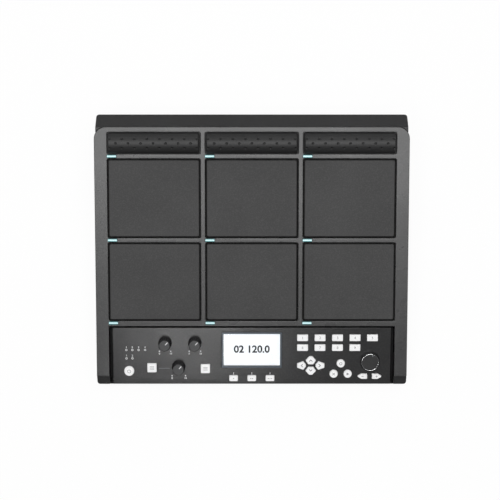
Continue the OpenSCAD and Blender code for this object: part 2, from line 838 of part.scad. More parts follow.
module display_module() color("#e8ecee")
    on_panel(0, display_v) slab(module_w, module_d, display_corner_r, module_bottom, module_top);

// An open frame that holds the display above the board
module display_carrier() color("#55585c")
    on_panel(0, display_v)
        difference() {
            slab(module_w, module_d, display_corner_r, -board_drop, module_bottom);
            slab(module_w - 2 * carrier_t, module_d - 2 * carrier_t, display_corner_r,
                -board_drop - 1, module_bottom + 1);
        }

// Keys
function key_points(kind) =
    kind == "menu" ? box_points(menu_key_w, menu_key_d)
    : kind == "function" ? box_points(function_key_w, function_key_d)
    : kind == "square" ? box_points(square_key_w, square_key_w)
    : kind == "step" ? step_key_points()
    : kind == "arrow_up" ? arrow_up_points()
    : arrow_left_points();
function step_key_points() = let (w = step_key_w / 2, d = step_key_d / 2)
    [[-w, -d * 0.2], [-w * 0.2, -d], [w, -d], [w, d], [-w * 0.2, d], [-w, d * 0.2]];
function arrow_up_points() = let (w = arrow_key_w / 2, d = arrow_key_d / 2)
    [[-w * 0.47, -d], [w * 0.47, -d], [w, 0], [w * 0.29, d], [-w * 0.29, d], [-w, 0]];
function arrow_left_points() = let (w = arrow_key_d * 0.54, d = arrow_key_w * 0.415)
    [[-w, -d * 0.49], [w * 0.4, -d], [w, -d * 0.27], [w, d * 0.27], [w * 0.4, d], [-w, d * 0.49]];

module key_outline(kind, grow) {
    if (kind == "round") circle(round_key_r + grow);
    else if (kind == "power") circle(power_key_r + grow);
    else polygon(rounded_outline(key_points(kind), key_corner_r, grow));
}

module key_prism(k, grow, low, high)
    on_panel(k[2], k[3], low) rotate([0, 0, k[4] ? 180 : 0])
        linear_extrude(high - low) key_outline(k[1], grow);

// A cap through the panel, a flange that the panel stops, and a plunger over the board
module key(k) color("#f4f6f6") {
    key_prism(k, 0, key_flange_top - key_flange_t / 2, key_rise);
    key_prism(k, key_flange, key_flange_top - key_flange_t, key_flange_top);
    stem_low = -board_drop + key_travel + key_stem_gap;
    on_panel(k[2], k[3], stem_low)
        cylinder(h = key_flange_top - key_flange_t / 2 - stem_low, r = key_stem_r);
}

// Silicone mats on the control board, open under the plungers and round what passes through
module keypad_mats() color("#7d8084")
    difference() {
        for (group = mat_groups) mat(group);
        for (k = KEYS)
            on_panel(k[2], k[3], -board_drop - 1) cylinder(h = mat_t + 2, r = key_stem_r + mat_clear);
        on_panel(dial_place[0], dial_place[1], -board_drop)
            cube([rotary_w + 2, rotary_w + 2, 4 * mat_t], center = true);
        for (p = board_boss_places)
            on_panel(p[0], p[1], -board_drop - 1) cylinder(h = mat_t + 2, r = board_boss_r + 0.6);
    }

module mat(keys) {
    reach = key_stem_r + mat_margin;
    xs = [for (k = keys) k[2]];
    vs = [for (k = keys) k[3]];
    wide = max(xs) - min(xs) + 2 * reach;
    deep = max(vs) - min(vs) + 2 * reach;
    low = -board_drop;
    on_panel((max(xs) + min(xs)) / 2, min((max(vs) + min(vs)) / 2, board_range[1] - deep / 2))
        slab(wide, deep, 2, low, low + mat_t);
}

module control_board() color("#2f6b46")
    difference() {
        on_panel() block([-board_half, -board_range[1], -board_drop - board_t],
            [board_half, -board_range[0], -board_drop]);
        for (p = board_boss_places)
            on_panel(p[0], p[1], -board_drop - board_t - 1) cylinder(h = board_t + 2, r = screw_hole_r);
    }

// Potentiometers and encoder: a body on the board and a bush through the panel
module rotary_control_bodies() color("#5b6066")
    for (p = rotary_places) on_panel(p[0], p[1])
        difference() {
            union() {
                translate([-rotary_w / 2, -rotary_w / 2, -board_drop])
                    cube([rotary_w, rotary_w, rotary_top + board_drop]);
                translate([0, 0, -board_drop + 1]) cylinder(h = board_drop - 1 + bush_top, r = bush_r);
            }
            translate([0, 0, -board_drop + 0.8]) cylinder(h = 2 * board_drop, r = shaft_r + shaft_clear);
        }

// A shaft whose upper part has a flat
module control_shaft(top)
    difference() {
        translate([0, 0, -board_drop + 1]) cylinder(h = top + board_drop - 1, r = shaft_r);
        shaft_flat(0, knob_recess_top - 2 * fit, top + 1);
    }

module shaft_flat(clear, low, top)
    block([shaft_r - flat_depth + clear, -beyond, low], [beyond, beyond, top]);

// Bore that fits that shaft, with room for the bush below
module shaft_bore(top) {
    difference() {
        translate([0, 0, -1]) cylinder(h = top + 1, r = shaft_r + shaft_clear);
        shaft_flat(shaft_clear, -beyond, top + 1);
    }
    translate([0, 0, -1]) cylinder(h = knob_recess_top + 1, r = bush_r + 0.8);
}

// Profile of a turned grip: a skirt, a tapered side and a bevelled top edge
module grip_profile(r, top)
    polygon([
        [0, knob_bottom], [r, knob_bottom], [r, knob_bottom + knob_skirt_h],
        [r - knob_taper, knob_bottom + knob_skirt_h + knob_taper], [r - 2 * knob_taper, top - knob_edge],
        [r - 2 * knob_taper - knob_edge, top], [0, top]]);

module flutes(r, count, size, top)
    for (i = [0:count - 1])
        rotate([0, 0, 360 * (i + 0.5) / count])
            translate([r - 2 * knob_taper + size * 0.7, 0, knob_bottom + knob_skirt_h + knob_edge])
                cylinder(h = top, r = size, $fn = 24);

module knob(k) {
    shaft_top = knob_h - shaft_cover;
    on_panel(k[1], k[2]) {
        color("#26282a")
            difference() {
                rotate_extrude($fn = 96) grip_profile(knob_r, knob_h);
                flutes(knob_r, knob_flutes, knob_flute_r, knob_h);
                shaft_bore(shaft_top + fit);
                rotate([0, 0, pointer_turn])
                    block([-pointer_w / 2, pointer_ends[0], knob_h - mark_depth],
                        [pointer_w / 2, pointer_ends[1], knob_h + 1]);
            }
        color("#b9bcc0") control_shaft(shaft_top);
    }
}

module dial() {
    shaft_top = dial_h - shaft_cover;
    on_panel(dial_place[0], dial_place[1]) {
        color("#303234")
            difference() {
                rotate_extrude($fn = 96) grip_profile(dial_r, dial_h);
                flutes(dial_r, dial_flutes, dial_flute_r, dial_h);
                shaft_bore(shaft_top + fit);
                rotate([0, 0, dial_mark_turn]) translate([0, dial_r - dial_mark_inset, dial_h - mark_depth])
                    cylinder(h = 1, r = dial_mark_r);
            }
        color("#b9bcc0") control_shaft(shaft_top);
    }
}

// Main board and rear sockets
module main_board() color("#2f6b46")
    difference() {
        block([-main_half, main_range[0], main_bottom], [main_half, main_range[1], main_top]);
        for (p = main_screw_places)
            translate([p[0], p[1], 0]) cylinder(h = 2 * main_top, r = screw_hole_r);
    }

module facing_rear(x, y, z)
    translate([x, y, z]) rotate([-90, 0, 0]) children();

module quarter_inch_jacks() color("#1f2022")
    for (x = jack_places)
        difference() {
            union() {
                block([x - jack_w / 2, socket_back - jack_l, main_top],
                    [x + jack_w / 2, socket_back, main_top + jack_h]);
                facing_rear(x, socket_back - 1, jack_z)
                    cylinder(h = half_d - socket_back + 1, r = jack_nose_r);
            }
            facing_rear(x, half_d - jack_depth, jack_z) cylinder(h = jack_depth + 1, r = jack_bore_r);
        }

module small_sockets() color("#26282a") {
    difference() {
        union() {
            block([dc_x - dc_w / 2, socket_back - dc_l, main_top],
                [dc_x + dc_w / 2, socket_back, main_top + dc_h]);
            facing_rear(dc_x, socket_back - 1, dc_z)
                cylinder(h = half_d - socket_back + 1, r = dc_nose_r);
        }
        facing_rear(dc_x, half_d - dc_depth, dc_z)
            difference() {
                cylinder(h = dc_depth + 1, r = dc_hole_r);
                translate([0, 0, -1]) cylinder(h = dc_depth - dc_pin_drop + 1, r = dc_pin_r);
            }
    }
    difference() {
        usb_shell(usb_w, usb_h, socket_back - usb_l, half_d);
        difference() {
            usb_shell(usb_w - 2 * usb_wall, usb_h - 2 * usb_wall, half_d - usb_depth, half_d + 1);
            block([usb_x - usb_tongue_w / 2, half_d - usb_depth - 1, usb_z - usb_tongue_t / 2],
                [usb_x + usb_tongue_w / 2, half_d - usb_tongue_drop, usb_z + usb_tongue_t / 2]);
        }
    }
}

module usb_shell(w, h, from, to)
    facing_rear(usb_x, from, usb_z) linear_extrude(to - from) rounded_box(w, h, h / 2 - nudge);

module jack_plate() color("#232426")
    difference() {
        block([-plate_half, half_d - jack_plate_t, jack_z - jack_plate_h / 2],
            [plate_half, half_d, jack_z + jack_plate_h / 2]);
        for (x = jack_places)
            facing_rear(x, half_d - beyond / 2, jack_z) cylinder(h = beyond, r = jack_nose_r + fit);
        facing_rear(dc_x, half_d - beyond / 2, dc_z) cylinder(h = beyond, r = dc_nose_r + fit);
        usb_shell(usb_w + 2 * fit, usb_h + 2 * fit, half_d - beyond / 2, half_d + beyond);
    }

base_plate();
rubber_feet();
base_screws();
case_shell();
top_deck();
control_panel();
jack_plate();
quarter_inch_jacks();
small_sockets();
main_board();
board_screws();
pad_chassis();
pad_foams();
pad_plates();
piezo_discs();
bar_cores();
pad_lights();
control_board();
keypad_mats();
rotary_control_bodies();
display_carrier();
display_module();
display_window();
for (r = [0:1], c = [0:2])
    pad(c, r);
for (c = [0:2])
    bar(c);
for (k = KEYS)
    key(k);
for (k = KNOBS)
    knob(k);
dial();
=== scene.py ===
"""Looks of an electronic percussion pad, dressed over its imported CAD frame.

Every mesh is in metres in the frame of the CAD model: +X to the right, +Y to the rear, +Z up.
Sizes in the classes are in millimetres, as on a drawing, and are turned into metres by MM.
"""

import logging
import math
from dataclasses import dataclass, field
from enum import Enum, auto

import bmesh
import bpy
from bpy.types import ID, Material, Mesh, Node, NodeOutputs, NodeSocket as Socket, NodeTree, Object
from mathutils import Matrix, Vector


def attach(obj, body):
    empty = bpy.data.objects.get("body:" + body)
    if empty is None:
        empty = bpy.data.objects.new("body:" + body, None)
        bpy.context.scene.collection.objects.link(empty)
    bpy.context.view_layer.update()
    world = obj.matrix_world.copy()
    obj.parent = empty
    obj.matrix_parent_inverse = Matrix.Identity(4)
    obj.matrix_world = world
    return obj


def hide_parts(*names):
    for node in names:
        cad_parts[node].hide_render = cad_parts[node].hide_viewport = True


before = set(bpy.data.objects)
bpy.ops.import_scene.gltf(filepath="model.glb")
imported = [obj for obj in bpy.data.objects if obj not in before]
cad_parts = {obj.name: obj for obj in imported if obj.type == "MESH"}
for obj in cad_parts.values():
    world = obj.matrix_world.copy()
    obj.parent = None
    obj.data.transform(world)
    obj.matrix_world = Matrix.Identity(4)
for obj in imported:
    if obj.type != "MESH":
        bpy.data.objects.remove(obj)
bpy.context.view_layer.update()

LOG = logging.getLogger("percussion_pad")
MM = 0.001
HOUSING = "housing"
SHARP = math.radians(32.0)
FLAT = math.radians(0.4)
WELD = 1e-6
SLOPE_EDGE = 0.5
X_AXIS = (1.0, 0.0, 0.0)
Y_AXIS = (0.0, 1.0, 0.0)
Z_AXIS = (0.0, 0.0, 1.0)
WHITE = (1.0, 1.0, 1.0)
COLUMNS = ("left", "middle", "right")
KNOBS = ("knob_left", "knob_right", "knob_front")
Colour = tuple[float, float, float]
Point = tuple[float, float]
Place = tuple[float, float, float]
Plane = tuple[Vector, Vector]
Range = tuple[object, object]
Values = dict[str | int, object]


class Graph:
    """Adds and links the nodes of one shader or geometry tree."""

    def __init__(self, tree: NodeTree) -> None:
        """Takes the tree that the nodes go into."""
        self.tree = tree

    def feed(self, node: Node, values: Values) -> None:
        """Fills inputs of a node.

        Args:
            node: the node.
            values: sockets to link or plain values to set, by the input's name or number.
        """
        for name, value in values.items():
            if isinstance(value, Socket):
                self.tree.links.new(value, node.inputs[name])
            else:
                node.inputs[name].default_value = value

    def add(self, kind: str, values: Values | None = None, **settings: object) -> Node:
        """Adds a node.

        Args:
            kind: Blender's name for the kind of node.
            values: what its inputs get.
            settings: properties of the node itself.

        Returns:
            The new node.
        """
        node = self.tree.nodes.new(kind)
        for name, value in settings.items():
            setattr(node, name, value)
        self.feed(node, values or {})
        return node

    def get(self, kind: str, output: str | int, values: Values | None = None, **settings: object) -> Socket:
        """Adds a node and gives one of its outputs, by name or number."""
        return self.add(kind, values, **settings).outputs[output]

    def math(self, operation: str, *values: object, clamp: bool = False) -> Socket:
        """Reckons with sockets or numbers; a clamped result stays between 0 and 1."""
        return self.get("ShaderNodeMath", 0, dict(enumerate(values)), operation=operation, use_clamp=clamp)

    def remap(self, value: Socket, source: Range, target: Range = (0.0, 1.0)) -> Socket:
        """Maps one range of values to another, and keeps the result inside it."""
        ends = zip(("Value", "From Min", "From Max", "To Min", "To Max"), (value, *source, *target))
        return self.get("ShaderNodeMapRange", "Result", dict(ends), clamp=True)

    def mix(self, share: object, first: object, second: object) -> Socket:
        """Mixes two colours, with a share of the second."""
        # Inputs 6 and 7 and output 2 are the node's sockets for colours.
        return self.get("ShaderNodeMix", 2, {0: share, 6: first, 7: second}, data_type="RGBA")

    def coordinates(self) -> Socket:
        """Gives the Object coordinates."""
        return self.get("ShaderNodeTexCoord", "Object")

    def attribute(self, name: str) -> Socket:
        """Gives a number that the mesh carries."""
        return self.get("ShaderNodeAttribute", "Fac", attribute_name=name)

    def bump(self, height: Socket, depth: float, strength: float) -> Socket:
        """Gives the normal over fine relief, whose depth is in mm."""
        values = {"Strength": strength, "Distance": depth * MM, "Height": height}
        return self.get("ShaderNodeBump", "Normal", values)


class Group(Graph):
    """A node group with named inputs and outputs."""

    def __init__(self, name: str, kind: str, inputs: dict[str, str], outputs: dict[str, str]) -> None:
        """Makes a group that holds nothing but its ends.

        Args:
            name: the group's name.
            kind: Blender's name for the kind of tree.
            inputs: the kind of each input, by name.
            outputs: the kind of each output, by name.
        """
        super().__init__(bpy.data.node_groups.new(name, kind))
        self.keys = {}
        new = self.tree.interface.new_socket
        for label, sort in inputs.items():
            self.keys[label] = new(label, in_out="INPUT", socket_type=f"NodeSocket{sort}").identifier
        for label, sort in outputs.items():
            new(label, in_out="OUTPUT", socket_type=f"NodeSocket{sort}")
        self.entry = self.add("NodeGroupInput").outputs
        self.exit = self.add("NodeGroupOutput")


class Effect(Group):
    """A surface effect that several finishes share, as a shader node group of numbers."""

    def __init__(self, name: str, inputs: tuple[str, ...], *outputs: str) -> None:
        """Makes the group with the names of its inputs and outputs."""
        ends = (dict.fromkeys(labels, "Float") for labels in (inputs, outputs))
        super().__init__(name, "ShaderNodeTree", *ends)

    def noise(self, scale: str, detail: float) -> Socket:
        """Gives noise from 0 to 1, at the scale that an input holds."""
        values = {"Vector": self.coordinates(), "Scale": self.entry[scale], "Detail": detail}
        return self.get("ShaderNodeTexNoise", 0, values)

    def put(self, graph: Graph, *values: object) -> NodeOutputs:
        """Puts the group into a material, with values for its inputs in order, and gives its outputs."""
        return graph.add("ShaderNodeGroup", dict(enumerate(values)), node_tree=self.tree).outputs


@dataclass
class Effects:
    """The shared surface effects, each built once."""

    pit_share: float = 0.5
    pit_detail: float = 3.0
    cloud_range: Point = (0.34, 0.66)
    cloud_detail: float = 4.0
    patch_range: Point = (0.3, 0.62)
    patch_share: Point = (0.25, 1.0)
    patch_detail: float = 5.0
    facing_range: Point = (0.7, 1.0)
    speck_range: Point = (0.45, 0.75)
    speck_detail: float = 2.0
    gloss_middle: float = 0.5
    gloss_detail: float = 4.0

    def __post_init__(self) -> None:
        """Builds all the groups."""
        self.grain = Effect("mould_grain", ("Scale", "Cloud Scale"), "Height", "Cloud")
        self.wear = Effect("edge_wear", ("Edge", "Scale", "Amount"), "Mask")
        self.dust = Effect("settled_dust", ("Scale", "Amount"), "Mask")
        self.gloss = Effect("handled_gloss", ("Roughness", "Spread", "Scale"), "Roughness")
        self.build_grain()
        self.build_wear()
        self.build_dust()
        self.build_gloss()

    def build_grain(self) -> None:
        """Builds the spark-eroded grain of a mould, with slow clouds of tone."""
        group = self.grain
        values = {"Vector": group.coordinates(), "Scale": group.entry["Scale"]}
        pits = group.get("ShaderNodeTexVoronoi", "Distance", values)
        height = group.math("MULTIPLY_ADD", pits, self.pit_share, group.noise("Scale", self.pit_detail))
        cloud = group.remap(group.noise("Cloud Scale", self.cloud_detail), self.cloud_range)
        group.feed(group.exit, {"Height": height, "Cloud": cloud})

    def build_wear(self) -> None:
        """Builds the rubbed look of rounded edges, from the edge attribute of a piece."""
        group = self.wear
        patches = group.noise("Scale", self.patch_detail)
        patches = group.remap(patches, self.patch_range, self.patch_share)
        rubbed = group.math("MULTIPLY", patches, group.entry["Edge"])
        group.feed(group.exit, {"Mask": group.math("MULTIPLY", rubbed, group.entry["Amount"])})

    def build_dust(self) -> None:
        """Builds the thin dust that lies on faces that look up."""
        group = self.dust
        normal = group.get("ShaderNodeNewGeometry", "Normal")
        facing = group.remap(group.get("ShaderNodeSeparateXYZ", "Z", {0: normal}), self.facing_range)
        specks = group.remap(group.noise("Scale", self.speck_detail), self.speck_range)
        lying = group.math("MULTIPLY", facing, specks)
        group.feed(group.exit, {"Mask": group.math("MULTIPLY", lying, group.entry["Amount"])})

    def build_gloss(self) -> None:
        """Builds a gloss that changes slowly where hands have been."""
        group = self.gloss
        centred = group.math("SUBTRACT", group.noise("Scale", self.gloss_detail), self.gloss_middle)
        uneven = group.math("MULTIPLY_ADD", centred, group.entry["Spread"], group.entry["Roughness"])
        group.feed(group.exit, {"Roughness": uneven})


EFFECTS = Effects()


class Paint(Graph):
    """The graph of a new material."""

    def __init__(self, name: str) -> None:
        """Makes the material, still without nodes.

        Args:
            name: the material's name.
        """
        self.material = bpy.data.materials.new(name)
        self.material.use_nodes = True
        super().__init__(self.material.node_tree)
        self.tree.nodes.clear()

    def gloss(self, roughness: float, spread: float, scale: float) -> Socket:
        """Gives a roughness with a spread, uneven over patches of a scale."""
        return EFFECTS.gloss.put(self, roughness, spread, scale)["Roughness"]

    def cloud(self, grain_scale: float, cloud_scale: float) -> Socket:
        """Gives the slow clouds of a grain, from 0 to 1."""
        return EFFECTS.grain.put(self, grain_scale, cloud_scale)["Cloud"]

    def cover(self, shader: Socket) -> Material:
        """Covers the surface with a shader, and gives the finished material."""
        self.add("ShaderNodeOutputMaterial", {"Surface": shader})
        return self.material

    def principled(self, values: Values) -> Material:
        """Covers the surface with a Principled shader of these inputs, and gives the material."""
        return self.cover(self.get("ShaderNodeBsdfPrincipled", 0, values))


def shade(colour: Colour, share: float = 1.0) -> tuple[float, float, float, float]:
    """Gives a colour, times a share, with full alpha."""
    return (colour[0] * share, colour[1] * share, colour[2] * share, 1.0)


@dataclass(frozen=True)
class MouldedFinish:
    """A moulded plastic or rubber with grain, clouds of tone, rubbed edges, a little dust, and painted shade
    in hollows where an attribute marks them.
    """

    name: str
    colour: Colour
    roughness: float = 0.5
    spread: float = 0.12
    gloss_scale: float = 25.0
    grain_scale: float = 1500.0
    grain_depth: float = 0.04
    grain_strength: float = 0.5
    cloud: float = 0.12
    cloud_scale: float = 14.0
    wear: float = 0.35
    wear_scale: float = 90.0
    worn_shade: float = 1.9
    dust: float = 0.05
    dust_scale: float = 700.0
    dust_colour: Colour = (0.42, 0.41, 0.39)
    specular: float = 0.385
    painted_shade_attribute: str = ""
    painted_shade_share: float = 0.12

    def build(self) -> Material:
        """Builds the material.

        Returns:
            The material.
        """
        paint = Paint(self.name)
        grain = EFFECTS.grain.put(paint, self.grain_scale, self.cloud_scale)
        rubbed = EFFECTS.wear.put(paint, paint.attribute("edge"), self.wear_scale, self.wear)["Mask"]
        dust = EFFECTS.dust.put(paint, self.dust_scale, self.dust)["Mask"]
        light, dark = (shade(self.colour, 1.0 + part) for part in (self.cloud, -self.cloud))
        tone = paint.mix(grain["Cloud"], light, dark)
        # Painted shade: hollows that the attribute marks, such as a bar's dimples, are darkened towards
        # black.
        if self.painted_shade_attribute:
            tone = paint.mix(paint.attribute(self.painted_shade_attribute), tone, shade(self.colour, self.painted_shade_share))
        tone = paint.mix(rubbed, tone, shade(self.colour, self.worn_shade))
        return paint.principled({
            "Base Color": paint.mix(dust, tone, shade(self.dust_colour)),
            "Roughness": paint.gloss(self.roughness, self.spread, self.gloss_scale),
            "Specular IOR Level": self.specular,
            "Normal": paint.bump(grain["Height"], self.grain_depth, self.grain_strength),
        })


@dataclass(frozen=True)
class MetalFinish:
    """A plated or drawn metal, with fine lines along one axis."""

    name: str
    colour: Colour
    roughness: float = 0.3
    spread: float = 0.2
    gloss_scale: float = 60.0
    line_scale: Place = (40.0, 900.0, 900.0)
    line_detail: float = 3.0
    line_shades: Point = (0.85, 1.1)
    line_depth: float = 0.01
    line_strength: float = 0.4

    def build(self) -> Material:
        """Builds the material.

        Returns:
            The material.
        """
        paint = Paint(self.name)
        values = {"Vector": paint.coordinates(), "Scale": self.line_scale}
        stretched = paint.get("ShaderNodeMapping", 0, values)
        values = {"Vector": stretched, "Scale": 1.0, "Detail": self.line_detail}
        lines = paint.get("ShaderNodeTexNoise", 0, values)
        return paint.principled({
            "Base Color": paint.mix(lines, *(shade(self.colour, share) for share in self.line_shades)),
            "Roughness": paint.gloss(self.roughness, self.spread, self.gloss_scale),
            "Metallic": 1.0,
            "Normal": paint.bump(lines, self.line_depth, self.line_strength),
        })


@dataclass(frozen=True)
class LaminateFinish:
    """A circuit board's lacquer over a net of tracks."""

    name: str
    colour: Colour
    track_colour: Colour
    track_scale: float = 60.0
    track_width: float = 0.03
    track_depth: float = 0.03
    track_strength: float = 0.3
    roughness: float = 0.35
    spread: float = 0.15
    gloss_scale: float = 80.0

    def build(self) -> Material:
        """Builds the material.

        Returns:
            The material.
        """
        paint = Paint(self.name)
        values = {"Vector": paint.coordinates(), "Scale": self.track_scale, "Mortar Size": self.track_width}
        tracks = paint.get("ShaderNodeTexBrick", "Fac", values)
        return paint.principled({
            "Base Color": paint.mix(tracks, shade(self.colour), shade(self.track_colour)),
            "Roughness": paint.gloss(self.roughness, self.spread, self.gloss_scale),
            "Normal": paint.bump(tracks, self.track_depth, self.track_strength),
        })


@dataclass(frozen=True)
class LitFinish:
    """A surface lit from behind, with a fine grid of dots and an uneven back light."""

    name: str
    colour: Colour
    strength: float
    grid_scale: float
    uneven: float = 0.08
    cloud_scale: float = 30.0
    roughness: float = 0.35
    spread: float = 0.1
    gloss_scale: float = 60.0
    body: float = 0.6
    dot_share: float = 0.12
    dot_glow: float = 0.6
    dot_body: float = 0.7
    core: str = ""
    fringe: Colour = (0.0, 0.0, 0.0)
    fringe_body: float = 0.5

    def build(self) -> Material:
        """Builds the material.

        Returns:
            The material.
        """
        paint = Paint(self.name)
        values = {"Vector": paint.coordinates(), "Scale": self.grid_scale, "Randomness": 0.0}
        dots = paint.get("ShaderNodeTexVoronoi", "Distance", values)
        dotted = paint.math("MULTIPLY", dots, self.dot_share)
        cloud = paint.cloud(self.grid_scale, self.cloud_scale)
        glow = paint.mix(cloud, shade(self.colour), shade(self.colour, 1.0 - self.uneven))
        glow = paint.mix(dotted, glow, shade(self.colour, self.dot_glow))
        bodies = (shade(self.colour, share) for share in (self.body, self.body * self.dot_body))
        tone = paint.mix(dotted, *bodies)
        if self.core:
            middle = paint.attribute(self.core)
            glow = paint.mix(middle, shade(self.fringe), glow)
            tone = paint.mix(middle, shade(self.fringe, self.fringe_body), tone)
        return paint.principled({
            "Base Color": tone,
            "Roughness": paint.gloss(self.roughness, self.spread, self.gloss_scale),
            "Emission Color": glow,
            "Emission Strength": self.strength,
        })


@dataclass(frozen=True)
class InkFinish:
    """Screen-printed ink, thin enough to show uneven cover."""

    name: str
    colour: Colour
    cover: float = 0.15
    grain_scale: float = 2500.0
    cloud_scale: float = 300.0
    roughness: float = 0.5
    spread: float = 0.2
    gloss_scale: float = 400.0

    def build(self) -> Material:
        """Builds the material."""
        paint = Paint(self.name)
        return paint.principled(self.look(paint))

    def look(self, paint: Paint) -> Values:
        """Gives the colour and the gloss.

        Args:
            paint: the material's graph.

        Returns:
            Inputs of the shader.
        """
        cloud = paint.cloud(self.grain_scale, self.cloud_scale)
        return {
            "Base Color": paint.mix(cloud, shade(self.colour), shade(self.colour, 1.0 - self.cover)),
            "Roughness": paint.gloss(self.roughness, self.spread, self.gloss_scale),
        }


@dataclass(frozen=True)
class GlassFinish(InkFinish):
    """A clear anti-glare window with faint finger marks."""

    cover: float = 0.02
    grain_scale: float = 300.0
    cloud_scale: float = 40.0
    roughness: float = 0.04
    spread: float = 0.05
    gloss_scale: float = 45.0
    ior: float = 1.1

    def look(self, paint: Paint) -> Values:
        """Gives the colour, the gloss and the clearness."""
        return {**super().look(paint), "Transmission Weight": 1.0, "IOR": self.ior}


class Finish(Enum):
    """Every finish on the object, by the place where it is used."""

    DECK = MouldedFinish("deck_plastic_grey", (0.0346, 0.0346, 0.0352), 0.28, wear=0.2, dust=0.04)
    CASE = MouldedFinish("case_plastic_dark", (0.0172, 0.0172, 0.0178), wear=0.3)
    PANEL = MouldedFinish("panel_plastic_dark", (0.0235, 0.0235, 0.0242), 0.22, wear=0.2, dust=0.03,
                          cloud=0.06)
    PAD = MouldedFinish("pad_rubber_grey", (0.050, 0.050, 0.0505), 0.72, grain_scale=1100.0,
                        grain_depth=0.09, cloud=0.06, wear=0.25, specular=0.27)
    # The bar's dimples get painted shade from the dimple attribute.
    BAR = MouldedFinish("bar_rubber_black", (0.0185, 0.0185, 0.019), grain_scale=1600.0, grain_depth=0.05,
                        cloud=0.1, wear=0.0, dust=0.03, specular=0.32, painted_shade_attribute="dimple")
    # Painted shade: near-black for the pads' sides down in the gaps round them.
    GAP_SHADE = MouldedFinish("gap_rubber_black", (0.006, 0.006, 0.006), 0.85, grain_depth=0.05, wear=0.0,
                        specular=0.15)
    KEY = MouldedFinish("key_plastic_white", (0.92, 0.92, 0.92), 0.42, grain_depth=0.015, cloud=0.02,
                        wear=0.05, dust=0.0)
    # The knobs' black is partly their dark plastic and partly painted shade on their side walls; their tops
    # take the lighter grey of KNOB_TOP.
    KNOB_BLACK_AND_SIDE_SHADE = MouldedFinish("knob_plastic_black", (0.0125, 0.0125, 0.013), 0.36, cloud=0.1, dust=0.03)
    KNOB_TOP = MouldedFinish("knob_top_grey", (0.054, 0.055, 0.056), 0.4, cloud=0.1, wear=0.0, dust=0.03)
    DIAL = MouldedFinish("dial_plastic_dark", (0.020, 0.020, 0.0205), 0.34, cloud=0.08, wear=0.2, dust=0.03)
    FOOT = MouldedFinish("foot_rubber_black", (0.014, 0.014, 0.014), 0.85, grain_depth=0.1, wear=0.3,
                         dust=0.1)
    SOCKET = MouldedFinish("socket_plastic_black", (0.018, 0.018, 0.019), 0.45, wear=0.25)
    CORE = MouldedFinish("core_plastic_grey", (0.24, 0.235, 0.21), 0.6, wear=0.1, dust=0.02)
    FOAM = MouldedFinish("pad_foam_dark", (0.045, 0.045, 0.055), 0.95, grain_scale=500.0, grain_depth=0.4,
                         wear=0.0)
    MAT = MouldedFinish("mat_silicone_grey", (0.2, 0.21, 0.22), 0.65, grain_depth=0.02, wear=0.0)
    BASE = MouldedFinish("base_metal_painted", (0.028, 0.028, 0.029), 0.6, grain_scale=900.0,
                         grain_depth=0.08, wear=0.4)
    BORDER = MouldedFinish("window_border_blue", (0.065, 0.080, 0.098), 0.25, grain_depth=0.005, wear=0.0,
                           dust=0.0)
    STEEL = MetalFinish("screw_steel_dark", (0.30, 0.30, 0.31), 0.38)
    SHEET = MetalFinish("sheet_steel_bright", (0.55, 0.56, 0.57), 0.42)
    NICKEL = MetalFinish("nickel_bright", (0.72, 0.70, 0.66), 0.22)
    CHROME = MetalFinish("chrome_bright", (0.86, 0.87, 0.88), 0.12)
    BRASS = MetalFinish("piezo_brass_disc", (0.72, 0.52, 0.22), 0.35)
    BOARD = LaminateFinish("board_laminate_green", (0.02, 0.12, 0.05), (0.05, 0.22, 0.09))
    SCREEN = LitFinish("display_screen_lit", (0.98, 0.99, 1.0), 0.94, 3000.0, uneven=0.02, body=0.15)
    LENS = LitFinish("light_lens_cyan", (0.52, 0.74, 0.76), 0.66, 800.0, uneven=0.15, core="core",
                     fringe=(0.03, 0.22, 0.23))
    WHITE_INK = InkFinish("print_white", (0.9, 0.9, 0.91))
    GREY_INK = InkFinish("print_grey", (0.22, 0.23, 0.24))
    KEY_INK = InkFinish("key_print_grey", (0.20, 0.20, 0.21))
    DARK_INK = InkFinish("screen_digits_dark", (0.02, 0.022, 0.025))
    GLASS = GlassFinish("window_glass_clear", (0.97, 0.985, 1.0))

    def material(self) -> Material:
        """Gives the finish's material, built at its first use."""
        return bpy.data.materials.get(self.value.name) or self.value.build()


def corners(spots: list[Vector]) -> tuple[Vector, Vector]:
    """Gives the lowest and the highest corner of the box round some spots."""
    low, high = (Vector(pick(s[i] for s in spots) for i in range(3)) for pick in (min, max))
    return low, high


